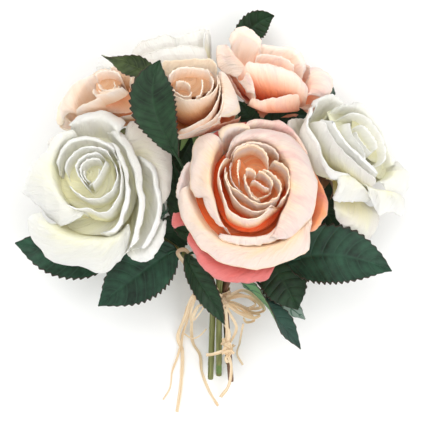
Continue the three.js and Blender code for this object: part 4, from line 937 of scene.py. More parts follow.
# %% [markdown]
# ## Leaf cloth
# The leaves are a stiffer cotton cloth, printed dark green, coated so that they shine a little, cut
# with a toothed die and pressed between heated plates that emboss the veins. The print stops short of
# the cut edge, which is tinted dull red. Underneath, the cloth is paler and greyer. Two fields steer
# the look: from_rib is 0 at the midrib and 1 at the edge, and vein counts the side veins, so that it
# is a whole number along each of them.

# %% Material for leaves
def leaf_cloth(name, light, dark, under, dullness):
    """Embossed leaf cloth with paler veins and a tinted cut edge. dullness: its least roughness."""
    material, add, shader = new_material(name)
    rib, vein, under_side = (
        add("ShaderNodeAttribute", attribute_name=field).outputs["Fac"]
        for field in ("from_rib", "vein", "under")
    )
    place = add("ShaderNodeTexCoord").outputs["Object"]
    # blotches of print, about 12 mm across, and fine grain of the cotton at 0.8 mm
    blotch = add("ShaderNodeTexNoise", {"Vector": place, "Scale": 80.0, "Detail": 4.0, "Roughness": 0.6})
    grain = add("ShaderNodeTexNoise", {"Vector": place, "Scale": 1250.0, "Detail": 2.0})
    # how far from a vein: 0 on it, and 0.5 between two
    away = add("ShaderNodeMath", {0: vein, 1: 0.5}, operation="PINGPONG")
    line = add(
        "ShaderNodeMapRange", {0: away, 1: 0.0, 2: 0.13, 3: 1.0, 4: 0.0}, interpolation_type="SMOOTHSTEP",
    )
    spine = add(
        "ShaderNodeMapRange", {0: rib, 1: 0.0, 2: 0.09, 3: 1.0, 4: 0.0}, interpolation_type="SMOOTHSTEP",
    )
    lines = add("ShaderNodeMath", {0: line, 1: spine}, operation="MAXIMUM")
    # the print is darker near the veins, down in the grooves of the embossing: painted shade
    print_and_shade_share = add("ShaderNodeMath", {0: away, 1: 0.3, 2: blotch}, operation="MULTIPLY_ADD")
    printed_and_shaded = add("ShaderNodeValToRGB", {0: print_and_shade_share}, stops=[(0.36, dark), (0.86, light)])
    veined = add("ShaderNodeMath", {0: lines, 1: 0.4}, operation="MULTIPLY")
    top = add("ShaderNodeMix", {0: veined, 6: printed_and_shaded, 7: linear(light)}, data_type="RGBA").outputs[2]
    below = add(
        "ShaderNodeMix", {0: lines, 6: linear(under), 7: linear(light)}, data_type="RGBA",
    ).outputs[2]
    colour = add("ShaderNodeMix", {0: under_side, 6: top, 7: below}, data_type="RGBA").outputs[2]
    wander = add("ShaderNodeMath", {0: blotch, 1: 0.12, 2: rib}, operation="MULTIPLY_ADD")
    tinted = add("ShaderNodeMapRange", {0: wander, 1: 0.95, 2: 1.04, 3: 0.0, 4: 0.9})
    colour = add("ShaderNodeMix", {0: tinted, 6: colour, 7: linear("#3b2720")}, data_type="RGBA").outputs[2]
    height = add("ShaderNodeMath", {0: lines, 1: 2.5, 2: grain}, operation="MULTIPLY_ADD")
    bump = add("ShaderNodeBump", {"Height": height, "Strength": 0.6, "Distance": 0.00012}, invert=True)
    dull = add("ShaderNodeMapRange", {0: blotch, 1: 0.3, 2: 0.7, 3: dullness, 4: dullness + 0.12})
    feed(shader, {
        "Base Color": colour, "Normal": bump, "Roughness": dull, "IOR": 1.48,
        "Specular IOR Level": 0.28, "Coat Weight": 0.06, "Coat Roughness": 0.35, "Sheen Weight": 0.03,
    })
    return material


LEAF_CLOTHS = {
    "green": leaf_cloth("coated_cotton_dark_green", "#274a2c", "#0a1c0c", "#76876a", 0.45),
    "blue": leaf_cloth("coated_cotton_blue_green", "#2d5640", "#0b2014", "#7d8f84", 0.42),
    "olive": leaf_cloth("coated_cotton_olive", "#5a6a3c", "#26331a", "#8a9472", 0.45),
    "pale": leaf_cloth("coated_cotton_fresh_green", "#34594a", "#18302a", "#629060", 0.45),
}
print("leaf cloths:", ", ".join(LEAF_CLOTHS))

# %% [markdown]
# ## Leaves
# A leaf is laid along its midrib, a smooth curve with four handles. Across it the blade is widest near
# the middle, folds up a little from the midrib, and bulges between the side veins, as embossed cloth
# does. The edge is a row of teeth that rise slowly and drop fast towards the tip. It could also be cut
# from a flat picture, but then the teeth would have no thickness and the bulges no shadow.

# %% The stems' lines, which the leaves spring from
STEM_RADIUS, SEAT_GAP, STEM_PITCH = 2.0, 0.3, 4.4  # mm: thickness, air under a rose, and ring in the tie
TIE = np.array([4.0, -55.0, 30.0])
BUNDLE_AXIS = unit([0, 0.925, 0.38])  # along the tied stems, towards the roses
BUNDLE_SIDE = np.array([1.0, 0, 0])
BUNDLE_UP = unit(np.cross(BUNDLE_SIDE, BUNDLE_AXIS))
# round: degrees round the tie. beyond: mm from tie to cut end. splay: mm that the end moves outward.
STEMS = {
    "blush_front": dict(round=90, beyond=48, splay=1.5, plastic="brown", looks="olive"),
    "white_left": dict(round=150, beyond=60, splay=2.2, plastic="olive"),
    "white_right": dict(round=30, beyond=61, splay=5.0, plastic="brown"),
    "peach_top": dict(round=330, beyond=52, splay=3.0, plastic="olive"),
    "peach_middle": dict(round=None, beyond=57, splay=0, plastic="green"),
    "peach_left": dict(round=210, beyond=54, splay=2.0, plastic="olive", twist=-0.16, sepal=0.8),
    "white_back": dict(round=270, beyond=62, splay=1.5, plastic="olive"),
}


def stem_line(name):
    """A stem's handles from its rose down to the tie, then its place there, and its cut end."""
    stem, rose = STEMS[name], ROSES[name]
    facing = unit(rose["facing"])
    outward = np.zeros(3)
    if stem["round"] is not None:
        angle = math.radians(stem["round"])
        outward = BUNDLE_SIDE * math.cos(angle) + BUNDLE_UP * math.sin(angle)
    top = np.array(rose["foot"], float) + facing * (CORE[0][1] * rose["size"] - SEAT_GAP)
    tied = TIE + outward * STEM_PITCH
    cut = tied - BUNDLE_AXIS * stem["beyond"] + outward * stem["splay"]
    run = np.linalg.norm(top - tied)
    above = tied + BUNDLE_AXIS * 6
    handles = [top, top - facing * 0.2 * run, above + BUNDLE_AXIS * 0.3 * run + outward * 0.1 * run, above]
    return np.array(handles), tied, cut


front_stem = stem_line("blush_front")[0]
print("stem of the front rose runs", round(float(np.linalg.norm(front_stem[0] - TIE))), "mm to the tie")

# %% The leaves' own lines
# A leaf springs from a stem, or from the midrib of another leaf (source), at a share of its length (at).
# rib: four handles in mm. face: the way the upper side looks at base and tip. half: half the width in mm.
# fold: degrees that each half rises. late: above 1 a leaf is widest past its middle, below 1 before it.
LEAVES = {
    "front_high": dict(stem="peach_middle", at=0.52,
        rib=[[-22.3, 35.1, 78], [-31.9, 52.0, 99], [-44.7, 71.4, 108], [-33.2, 95.7, 100]],
        face=[[-0.35, -0.3, 0.9], [0.0, 0.0, 0.98]],
        half=15.5, fold=14, teeth=9, late=1.4, cloth="green"),
    "narrow_high": dict(source="front_high", at=0.5,
        rib=[[-33.2, 82.0, 94], [-42.0, 91.0, 96], [-57.0, 95.0, 94], [-70.5, 99.4, 88]],
        face=[[0.1, 0.75, 0.65], [0.2, -0.9, 0.3]],
        half=7.5, fold=20, teeth=6, cloth="olive"),
    "top": dict(stem="white_back", at=0.28,
        rib=[[15.5, 109.7, 13], [23.5, 124.3, 15], [32.8, 131.3, 18], [40.7, 131.6, 22]],
        face=[[0.1, -0.3, 0.95], [-0.3, -0.3, 0.9]],
        half=10, fold=10, teeth=6, cloth="green"),
    "right_high": dict(stem="peach_top", at=0.4,
        rib=[[70.8, 64.2, 34], [76.6, 72.0, 36], [79.9, 79.9, 36], [75.4, 90.6, 34]],
        face=[[0.9, 0.3, 0.1], [0.9, 0.1, 0.2]],
        half=9, fold=12, teeth=5, cloth="blue"),
    "between_right": dict(stem="blush_front", at=0.36,
        rib=[[31.9, 55.3, 54], [42.2, 62.4, 55], [52.6, 65.7, 55], [62.4, 63.1, 55]],
        face=[[0.0, -0.2, 0.95], [0.2, -0.2, 0.95]],
        half=8, fold=10, teeth=5, cloth="green"),
    "between_left": dict(stem="blush_front", at=0.4,
        rib=[[28.6, 55.3, 53], [24.6, 60.9, 58.5], [20.7, 66.6, 61.5], [16.2, 72.4, 61]],
        face=[[0, -0.2, 0.95], [-0.3, -0.2, 0.95]],
        half=6.5, fold=10, teeth=5, cloth="green"),
    "centre_left": dict(stem="peach_middle", at=0.53,
        rib=[[-16.2, -17.7, 47.5], [-18.9, -5.9, 49.3], [-22.8, 11.7, 51], [-26.7, 34.5, 53]],
        face=[[0.1, 0, 0.98], [-0.3, 0, 0.95]],
        half=9, fold=12, teeth=6, cloth="green"),
    "left_low": dict(stem="white_left", at=0.45,
        rib=[[-69.3, -32.4, 36], [-87.7, -29.0, 38], [-110.7, -24.4, 38], [-131.0, -19.8, 34]],
        face=[[0.1, 0.1, 0.95], [-0.3, 0.1, 0.9]],
        half=17, fold=10, teeth=7, cloth="blue"),
    "left_front": dict(stem="white_left", at=0.66,
        rib=[[-24.2, -22.9, 48], [-39.9, -33.4, 46], [-57.8, -46.6, 43], [-75.9, -61.4, 36]],
        face=[[0.0, 0.1, 0.98], [-0.15, 0.0, 0.98]],
        half=19.5, fold=8, teeth=8, cloth="blue"),
    "centre_twisted": dict(stem="peach_middle", at=0.8,
        rib=[[-17.5, -26.6, 56], [-13.6, -42.1, 58], [1.6, -56.5, 55], [7.4, -73.2, 48]],
        face=[[0.5, 0.3, 0.8], [-0.55, 0.1, 0.8]],
        half=8.5, fold=20, teeth=7, cloth="green"),
    "centre_low": dict(source="centre_left", at=0.1,
        rib=[[-21, -1, 44], [-25, -10, 41], [-29, -19, 37], [-31, -32, 33]],
        face=[[0.1, 0, 0.98], [-0.2, 0, 0.95]],
        half=12, fold=12, teeth=6, cloth="green"),
    "centre_behind": dict(source="centre_left", at=0.6,
        rib=[[-12, 52, 38], [-19, 40, 38], [-26, 26, 37], [-31, 8, 35]],
        face=[[0.1, 0, 0.98], [-0.2, 0, 0.95]],
        half=13, fold=12, teeth=6, cloth="green"),
    "right_behind": dict(source="between_right", at=0.8,
        rib=[[58, 30, 34], [66, 18, 33], [74, 3, 31], [84, -14, 28]],
        face=[[0.1, 0, 0.98], [-0.2, 0, 0.95]],
        half=13, fold=12, teeth=6, cloth="green"),
    "right_large": dict(stem="white_right", at=0.6,
        rib=[[49.3, -32.2, 42], [71.0, -22.8, 52], [95.9, -28.1, 50], [117.6, -38.1, 42]],
        face=[[0.1, 0.2, 0.95], [0.3, 0.1, 0.9]],
        half=21, fold=12, teeth=8, late=0.72, cloth="blue"),
    "right_dark": dict(stem="white_right", at=0.73,
        rib=[[37.6, -30.4, 36], [44.1, -40.8, 40], [50.6, -51.9, 41], [56.0, -63.9, 38]],
        face=[[-0.1, 0.1, 0.98], [0.1, 0.0, 0.98]],
        half=16, fold=10, teeth=6, cloth="green"),
    "right_narrow": dict(stem="blush_front", at=0.75,
        rib=[[19.6, -45.7, 48.5], [32.0, -55.5, 49], [45.2, -71.4, 46], [57.9, -89.5, 40]],
        face=[[0.75, 0.2, -0.45], [0.5, 0.2, 0.8]],
        half=12, fold=14, teeth=6, cloth="pale"),
    "right_under": dict(stem="peach_top", at=0.8,
        rib=[[32.4, -49.6, 34], [41.0, -55.5, 35], [50.9, -61.5, 34], [61.0, -70.3, 31]],
        face=[[-0.2, 0.5, -0.8], [-0.2, 0.5, -0.8]],
        half=9, fold=10, teeth=5, cloth="blue"),
    "back_right": dict(stem="white_right", at=0.5,
        rib=[[32.9, -1.3, 16], [48.4, 0.7, 14], [68.9, 3.4, 8], [88.4, 5.4, 0]],
        face=[[0.1, 0.0, -0.98], [-0.1, 0.0, -0.98]],
        half=17, fold=8, teeth=6, cloth="green"),
    "back_left": dict(stem="peach_left", at=0.5,
        rib=[[-32.2, -1.3, 16], [-49.1, 3.4, 14], [-66.2, 8.8, 8], [-81.5, 11.5, 1.5]],
        face=[[0.1, 0.0, -0.98], [-0.1, 0.0, -0.98]],
        half=17, fold=8, teeth=6, cloth="blue"),
    "back_high": dict(stem="white_back", at=0.3,
        rib=[[10.1, 32.3, 14], [18.1, 45.7, 14], [26.3, 61.3, 12], [33.1, 77.6, 9]],
        face=[[0.1, 0.0, -0.98], [-0.1, 0.0, -0.98]],
        half=16, fold=8, teeth=6, cloth="green"),
}
LEAF_THICK, BULGE = 0.5, 0.35  # mm: the cloth, and how far it bulges between two veins
print("leaf blades:", len(LEAVES))


# %% Cutting the leaves
LEAF_COLUMNS, TOOTH_ROWS = 26, 7
TOOTH_DEPTH, TOOTH_RISE, TOOTH_DROP = 0.13, 0.78, 0.22  # share of the half width, then of a tooth's length
VEIN_LEAN, VEINS_A_TOOTH = 0.16, 1.15  # how far a side vein runs forward, and how many there are
STALK_RADIUS, STALK_SWELL = 0.9, 0.25  # mm, and how much thicker it is where it starts
UNDER_A_RIB = np.array([0, 0, 1.3])  # mm, where a stalk starts that springs from another leaf
BESIDE_A_STEM = STEM_RADIUS + SEAT_GAP + 0.3  # mm from a stem's middle, where any other stalk starts


def blade_ways(leaf, t):
    """The way across a leaf and the way out of its upper side, along its midrib."""
    along = bezier_way(leaf["rib"], t)
    low, high = np.array(leaf["face"], float)
    face = low + (high - low) * t[..., None]
    face = unit(face - along * np.sum(face * along, -1, keepdims=True))
    return np.cross(along, face), face


def half_width(leaf, far, t):
    """Half a leaf's width along it: round at the base, pointed at the tip, and toothed at the edge."""
    full = np.sin(math.pi * np.clip(t, 0.004, 0.996) ** leaf.get("late", 0.85)) ** (0.65 + 0.45 * t**3)
    phase = (t * leaf["teeth"] * 2 + 0.1) % 1.0
    notch = np.where(phase < TOOTH_RISE, 1 - phase / TOOTH_RISE, (phase - TOOTH_RISE) / TOOTH_DROP)
    return leaf["half"] * full * (1 - TOOTH_DEPTH * notch * far**6) + 0.35


def leaf_blade(leaf):
    """A blade with its teeth, its fold and its embossed bulges, as a patch."""
    rows = leaf["teeth"] * 2 * TOOTH_ROWS
    s, t = np.meshgrid(np.linspace(-1, 1, LEAF_COLUMNS + 1), np.linspace(0, 1, rows + 1))
    far = np.abs(s)
    side, face = blade_ways(leaf, t)
    half = half_width(leaf, far, t)
    raised = math.radians(leaf["fold"]) * far
    # relief: bulges between the side veins, a groove along the midrib, and a slow wave near the edge
    vein = (t - VEIN_LEAN * far**1.25) * leaf["teeth"] * VEINS_A_TOOTH
    swell = np.abs(np.sin(math.pi * vein)) ** 0.7 * smooth(far / 0.25)
    swell = swell * smooth((1 - far) / 0.3) * np.minimum(1, half / 7)
    groove = 0.45 * np.exp(-((far * half / 0.9) ** 2))
    wave = 0.7 * far**3 * np.sin(t * leaf["teeth"] * 2.1 + np.sign(s) * 1.3) * smooth(half / 6)
    points = bezier(leaf["rib"], t) + side * (half * s * np.cos(raised))[..., None]
    points = points + face * (half * far * np.sin(raised) + BULGE * swell - groove + wave)[..., None]
    return cloth(points, LEAF_THICK, np.stack([(s + 1) / 2, t], -1), dict(from_rib=far, vein=vein))


def leaf_stalk(leaf):
    """The stalk, from its stem or from the midrib of the leaf it springs from, to its own midrib."""
    from_leaf = "source" in leaf
    path = LEAVES[leaf["source"]]["rib"] if from_leaf else stem_line(leaf["stem"])[0]
    carrier, line = bezier(path, leaf["at"]), bezier_way(path, leaf["at"])
    base = bezier(leaf["rib"], 0.02)
    toward = base - carrier
    square = unit(toward - line * (toward @ line))
    start = carrier - UNDER_A_RIB if from_leaf else carrier + square * BESIDE_A_STEM
    way = unit(unit(toward) + square)
    reach = 0.3 * np.linalg.norm(start - base)
    last = base - bezier_way(leaf["rib"], 0.0) * reach
    t = np.linspace(0, 1, 24)
    middle = bezier([start, start + way * reach, last, bezier(leaf["rib"], 0.12)], t)
    return rod(middle, STALK_RADIUS + STALK_SWELL * (1 - t) ** 4, 12, fields=dict(from_rib=0.0, vein=0.5))


leaf_pieces = {}
for name, leaf in LEAVES.items():
    if "source" in leaf:
        continue
    spray = [other for key, other in LEAVES.items() if key == name or other.get("source") == name]
    cloths = [LEAF_CLOTHS[other["cloth"]] for other in spray]
    patches = []
    for slot, other in enumerate(spray):
        for patch in (leaf_blade(other), leaf_stalk(other)):
            patch["slot"] = slot
            patches.append(patch)
    piece = make_piece(f"leafy_{name}", patches, cloths)
    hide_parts(f"leaf_{name}")
    leaf_pieces[name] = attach(piece, "root")
leaf_faces = sum(len(piece.data.polygons) for piece in leaf_pieces.values())
print("leaf pieces:", len(leaf_pieces), "with", leaf_faces, "faces")

# %% [markdown]
# ## Stems
# The stems are polythene, moulded over a wire: dull, slightly translucent, with a few flats along them
# and a faint seam, darker where they have been handled. Where a stem was cut, the paler core shows.

# %% Material for stems
def stem_plastic(name, light, dark, core):
    """Moulded stem plastic, streaked lengthwise, with a paler cut end."""
    material, add, shader = new_material(name)
    uv = add("ShaderNodeUVMap", uv_map="own")
    cut = add("ShaderNodeAttribute", attribute_name="cut").outputs["Fac"]
    # streaks 1 mm wide and about 20 mm long: the UV is one turn across and millimetres along
    stretched = add("ShaderNodeVectorMath", {0: uv, 1: (12.0, 0.05, 1)}, operation="MULTIPLY")
    streak = add("ShaderNodeTexNoise", {"Vector": stretched, "Scale": 1.0, "Detail": 4.0, "Roughness": 0.6})
    place = add("ShaderNodeTexCoord").outputs["Object"]
    pitted = add("ShaderNodeTexNoise", {"Vector": place, "Scale": 900.0, "Detail": 2.0})
    body = add("ShaderNodeValToRGB", {0: streak}, stops=[(0.35, dark), (0.68, light)])
    colour = add("ShaderNodeMix", {0: cut, 6: body, 7: linear(core)}, data_type="RGBA").outputs[2]
    height = add("ShaderNodeMath", {0: streak, 1: 2.0, 2: pitted}, operation="MULTIPLY_ADD")
    bump = add("ShaderNodeBump", {"Height": height, "Strength": 0.5, "Distance": 0.00015})
    feed(shader, {
        "Base Color": colour, "Normal": bump, "Roughness": 0.5, "IOR": 1.51, "Specular IOR Level": 0.4,
        "Subsurface Weight": 0.08, "Subsurface Radius": (0.6, 1.0, 0.3), "Subsurface Scale": 0.002,
    })
    return material


STEM_PLASTICS = {
    "olive": stem_plastic("moulded_polythene_olive", "#8b8f55", "#565a2e", "#c3c48e"),
    "green": stem_plastic("moulded_polythene_green", "#86a35c", "#4c6632", "#b8cf86"),
    "brown": stem_plastic("moulded_polythene_brown", "#8a6248", "#4f3526", "#b99a72"),
}
print("stem plastics:", ", ".join(STEM_PLASTICS))

# %% [markdown]
# ## Five sepals from one
# Under every rose five sepals spread from a small swelling. They are one moulded star, so they are all
# alike: Geometry Nodes take one sepal, set copies round a circle and give them their plastic. The tree
# has named inputs for the number, the turn of the first and the material, and it ends in Realize
# Instances and Set Material, so that what comes out is plain mesh.

# %% A tree that sets copies round an axis
def tree_round_the_axis():
    """A tree that sets copies of a piece evenly round the Z axis and joins them into one mesh."""
    tree = bpy.data.node_groups.new("set_round_the_axis", "GeometryNodeTree")
    add = partial(add_node, tree)
    ports = tree.interface
    ports.new_socket("Piece", in_out="INPUT", socket_type="NodeSocketGeometry")
    ports.new_socket("Count", in_out="INPUT", socket_type="NodeSocketInt")
    ports.new_socket("First turn", in_out="INPUT", socket_type="NodeSocketFloat")
    ports.new_socket("Finish", in_out="INPUT", socket_type="NodeSocketMaterial")
    ports.new_socket("Piece", in_out="OUTPUT", socket_type="NodeSocketGeometry")
    given = add("NodeGroupInput").outputs
    spots = add("GeometryNodePoints", {"Count": given["Count"]})
    step = add("ShaderNodeMath", {0: 2 * math.pi, 1: given["Count"]}, operation="DIVIDE")
    number = add("GeometryNodeInputIndex")
    angle = add("ShaderNodeMath", {0: number, 1: step, 2: given["First turn"]}, operation="MULTIPLY_ADD")
    turn = add("ShaderNodeCombineXYZ", {2: angle})
    copies = add("GeometryNodeInstanceOnPoints", {
        "Points": spots, "Instance": given["Piece"], "Rotation": turn,
    })
    real = add("GeometryNodeRealizeInstances", {0: copies})
    finished = add("GeometryNodeSetMaterial", {"Geometry": real, "Material": given["Finish"]})
    add("NodeGroupOutput", {0: finished})
    return tree


def grown(piece, tree, values):
    """The mesh that a Geometry Nodes tree makes from a piece. values: what goes to its named inputs."""
    grower = piece.modifiers.new("grow", "NODES")
    grower.node_group = tree
    for port in tree.interface.items_tree:
        if port.in_out == "INPUT" and port.name in values:
            grower[port.identifier] = values[port.name]
    graph = bpy.context.evaluated_depsgraph_get()
    graph.update()
    mesh = bpy.data.meshes.new_from_object(piece.evaluated_get(graph), depsgraph=graph)
    bpy.data.objects.remove(piece)
    return mesh


ROUND_THE_AXIS = tree_round_the_axis()
print("inputs:", [item.name for item in ROUND_THE_AXIS.interface.items_tree if item.in_out == "INPUT"])


# %% Stems with their sepals
SWELLING = [(0, 5.0), (2.2, 5.6), (5, 4.4), (8.5, 2.6), (13, STEM_RADIUS)]  # mm from the rose, and radius
CUT_ROUND = 1.2  # mm before its cut end, where a stem starts to thin
RING_APART, RING_WIDE, RING_RISE = 27.0, 1.6, 0.12  # mm, the mould's rings


def one_sepal(length):
    """A sepal in its rose's frame, along +X, as a patch. length: 1 is about 13 mm."""
    s, t = np.meshgrid(np.linspace(-1, 1, 9), np.linspace(0, 1, 15))
    out = 3 + length * (17 * t - 4 * t * t)
    down = 2.2 + length * (1.5 * t + 9 * t * t) + 0.7 * np.sin(3 * math.pi * t) * t - 0.8 * s * s
    half = 3.2 * (1 - t) ** 0.7 + 0.35
    return cloth(np.stack([out, half * s, -down], -1), 0.6 - 0.2 * t, np.stack([s, t * 15], -1))


def patch_of(mesh, place_it):
    """A plain mesh that a tree made, in metres, as a patch in its place, without a strip's end caps."""
    points = np.zeros(len(mesh.vertices) * 3)
    mesh.vertices.foreach_get("co", points)
    corners = [list(face.vertices) for face in mesh.polygons if len(face.vertices) <= 4]
    faces = np.array([(face + face[-1:])[:4] for face in corners])
    fields = {}
    for own in mesh.attributes:
        if own.data_type == "FLOAT" and own.domain == "POINT":
            values = np.zeros(len(mesh.vertices))
            own.data.foreach_get("value", values)
            fields[own.name] = values
    points = place_it(points.reshape(-1, 3) / MM)
    return dict(points=points, faces=faces, uv=np.zeros((len(points), 2)), fields=fields, slot=0)


def stem_rod(name):
    """A stem from its rose to its cut end, as a patch, swollen under the rose and ringed here and there."""
    handles, tied, cut = stem_line(name)
    below_tie = tied + (cut - tied) * np.linspace(0, 1, 34)[:, None]
    line = np.concatenate([bezier(handles, np.linspace(0, 1, 90)), below_tie])
    run = run_along(line)
    places, sizes = zip(*SWELLING, (run[-1] - CUT_ROUND, 1.93), (run[-1], 1.75))
    ring = RING_RISE * np.exp(-((((run % RING_APART) - RING_APART / 2) / RING_WIDE) ** 2))
    return rod(line, np.interp(run, places, sizes) + ring * (run > SWELLING[-1][0] + 1), 20, ridges=0.035)


def star_of_sepals(name, stem):
    """The sepals under a rose, as a patch in their place."""
    maker = make_piece("sepal_maker", [one_sepal(stem.get("sepal", 1))], [], shift=0.0)
    finish = STEM_PLASTICS[stem["plastic"]]
    star = grown(maker, ROUND_THE_AXIS, {
        "Count": 5, "First turn": stem.get("twist", 0.4), "Finish": finish,
    })
    set_down = placing(stem_line(name)[0][0], ROSES[name]["facing"])
    sepals = patch_of(star, lambda points: pressed(name, set_down(points)))
    sepals["fields"]["cut"] = np.zeros(len(sepals["points"]))
    return sepals


def stem_piece(name, stem):
    """A stem with its sepals."""
    plastic = STEM_PLASTICS[stem.get("looks", stem["plastic"])]
    piece = make_piece(f"stalk_{name}", [stem_rod(name), star_of_sepals(name, stem)], [plastic])
    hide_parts(f"stem_{name}")
    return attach(piece, "root")


stem_pieces = {name: stem_piece(name, stem) for name, stem in STEMS.items()}
print("stems:", len(stem_pieces), "with", sum(len(p.data.polygons) for p in stem_pieces.values()), "faces")

# %% [markdown]
# ## Raffia
# Raffia is the dried skin of a palm leaf, torn into flat strips: straw coloured, streaked along its
# length, matt where the fibres are coarse, and curled across like a shallow gutter. A strip follows a
# path, so a second tree sweeps a curled profile along one. The path carries the way its flat side
# faces at each point (flat_way), so a strip can twist on its way down.

# %% Material for raffia
def raffia(name, light, dark):
    """Dried palm fibre with streaks along the strip."""
    material, add, shader = new_material(name)
    across, along, tone = (
        add("ShaderNodeAttribute", attribute_name=field).outputs["Fac"]
        for field in ("across_mm", "along_mm", "tone")
    )
    shift = add("ShaderNodeMath", {0: tone, 1: 31.0}, operation="MULTIPLY")
    flat = add("ShaderNodeCombineXYZ", {0: across, 1: along, 2: shift})
    # fibres 0.4 mm wide that run for about 30 mm
    fibre = add("ShaderNodeVectorMath", {0: flat, 1: (2.6, 0.035, 1)}, operation="MULTIPLY")
    fibres = add("ShaderNodeTexNoise", {"Vector": fibre, "Scale": 1.0, "Detail": 4.0, "Roughness": 0.7})
    colour = add("ShaderNodeValToRGB", {0: fibres}, stops=[(0.32, dark), (0.6, light)])
    bump = add("ShaderNodeBump", {"Height": fibres, "Strength": 0.8, "Distance": 0.0003})
    feed(shader, {
        "Base Color": colour, "Normal": bump, "Roughness": 0.55, "IOR": 1.5, "Specular IOR Level": 0.3,
        "Subsurface Weight": 0.15, "Subsurface Radius": (1.0, 0.8, 0.5), "Subsurface Scale": 0.001,
    })
    return material


RAFFIA = raffia("dried_palm_fibre", "#f6e2c4", "#cda878")
print("raffia ready")


# %% A tree that sweeps a curled strip along a path
def tree_strip():
    """A tree that sweeps a profile like a shallow gutter along a path."""
    tree = bpy.data.node_groups.new("strip_along_a_path", "GeometryNodeTree")
    add = partial(add_node, tree)
    ports = tree.interface
    ports.new_socket("Path", in_out="INPUT", socket_type="NodeSocketGeometry")
    for name in ("Width", "Thickness", "Curl"):
        ports.new_socket(name, in_out="INPUT", socket_type="NodeSocketFloat")
    ports.new_socket("Seed", in_out="INPUT", socket_type="NodeSocketInt")
    ports.new_socket("Finish", in_out="INPUT", socket_type="NodeSocketMaterial")
    ports.new_socket("Strip", in_out="OUTPUT", socket_type="NodeSocketGeometry")
    given = add("NodeGroupInput").outputs
    path = add("GeometryNodeMeshToCurve", {0: given["Path"]})
    flat = add("GeometryNodeInputNamedAttribute", {0: "flat_way"}, data_type="FLOAT_VECTOR")
    along = add("GeometryNodeInputTangent")
    length = add("GeometryNodeSplineParameter").outputs["Length"]
    part = add("ShaderNodeVectorMath", {0: flat, 1: along}, operation="DOT_PRODUCT").outputs["Value"]
    back = add("ShaderNodeVectorMath", {0: along, "Scale": part}, operation="SCALE")
    square = add("ShaderNodeVectorMath", {0: flat, 1: back}, operation="SUBTRACT")
    square = add("ShaderNodeVectorMath", {0: square}, operation="NORMALIZE")
    path = add("GeometryNodeSetCurveNormal", {"Curve": path, "Normal": square}, mode="FREE")
    run = add("ShaderNodeMath", {0: length, 1: 1 / MM}, operation="MULTIPLY")
    path = add("GeometryNodeStoreNamedAttribute", {"Geometry": path, "Name": "along_mm", "Value": run})
    # the profile: a flattened ring, bent like a gutter
    ring = add("GeometryNodeCurvePrimitiveCircle", {"Resolution": 14, "Radius": 1.0})
    spot = add("ShaderNodeSeparateXYZ", {0: add("GeometryNodeInputPosition")})
    half = add("ShaderNodeMath", {0: given["Width"], 1: 0.5}, operation="MULTIPLY")
    x = add("ShaderNodeMath", {0: spot.outputs[0], 1: half}, operation="MULTIPLY")
    thin = add("ShaderNodeMath", {0: given["Thickness"], 1: 0.5}, operation="MULTIPLY")
    y = add("ShaderNodeMath", {0: spot.outputs[1], 1: thin}, operation="MULTIPLY")
    square_x = add("ShaderNodeMath", {0: spot.outputs[0], 1: spot.outputs[0]}, operation="MULTIPLY")
    gutter = add("ShaderNodeMath", {0: square_x, 1: -0.5}, operation="ADD")
    gutter = add("ShaderNodeMath", {0: gutter, 1: given["Curl"]}, operation="MULTIPLY")
    y = add("ShaderNodeMath", {0: gutter, 1: half, 2: y}, operation="MULTIPLY_ADD")
    place = add("ShaderNodeCombineXYZ", {0: y, 1: x})
    ring = add("GeometryNodeSetPosition", {"Geometry": ring, "Position": place})
    ring_y = add("ShaderNodeSeparateXYZ", {0: add("GeometryNodeInputPosition")}).outputs[1]
    width = add("ShaderNodeMath", {0: ring_y, 1: 1 / MM}, operation="MULTIPLY")
    ring = add("GeometryNodeStoreNamedAttribute", {"Geometry": ring, "Name": "across_mm", "Value": width})
    # torn strips are never quite even: their width wanders slowly
    where = add("ShaderNodeMath", {0: length, 1: 60.0, 2: given["Seed"]}, operation="MULTIPLY_ADD")
    uneven = add("ShaderNodeTexNoise", {"W": where, "Scale": 1.0, "Detail": 2.0}, noise_dimensions="1D")
    scale = add("ShaderNodeMapRange", {0: uneven, 1: 0.3, 2: 0.7, 3: 0.78, 4: 1.08})
    swept = add("GeometryNodeCurveToMesh", {
        "Curve": path, "Profile Curve": ring, "Scale": scale, "Fill Caps": True,
    })
    real = add("GeometryNodeRealizeInstances", {0: swept})
    finished = add("GeometryNodeSetMaterial", {"Geometry": real, "Material": given["Finish"]})
    add("NodeGroupOutput", {0: finished})
    return tree


STRIP = tree_strip()
print("inputs:", [item.name for item in STRIP.interface.items_tree if item.in_out == "INPUT"])


# %% Paths of raffia
GUTTER = 0.3  # how deep a strip curls across, against half its width


def strip(line, width, flat, seed, twist=0.0, thick=0.35):
    """A raffia strip along a line of points, as a patch. flat: the way its upper side looks, at each point
    or everywhere. twist: how far it turns on its way, in degrees.
    """
    line = np.array(line, float)
    along = unit(np.gradient(line, axis=0))
    way = unit(np.cross(along, np.cross(np.broadcast_to(flat, line.shape), along)))
    turn = np.radians(twist) * smooth(np.linspace(0, 1, len(line)))[:, None]
    way = way * np.cos(turn) + np.cross(along, way) * np.sin(turn)
    mesh = bpy.data.meshes.new("strip_path")
    mesh.from_pydata((line * MM).tolist(), [(i, i + 1) for i in range(len(line) - 1)], [])
    mesh.attributes.new("flat_way", "FLOAT_VECTOR", "POINT").data.foreach_set("vector", way.ravel())
    path = bpy.data.objects.new("strip_path", mesh)
    bpy.context.scene.collection.objects.link(path)
    values = {"Width": width * MM, "Thickness": thick * MM, "Curl": GUTTER, "Seed": seed, "Finish": RAFFIA}
    patch = patch_of(grown(path, STRIP, values), lambda points: points)
    patch["fields"]["tone"] = np.full(len(patch["points"]), between(seed, 1, 2, 0, 1))
    return patch


print("a path of", len(curve_through([[0, 0, 0], [10, 0, 0], [10, 10, 0]])), "points")

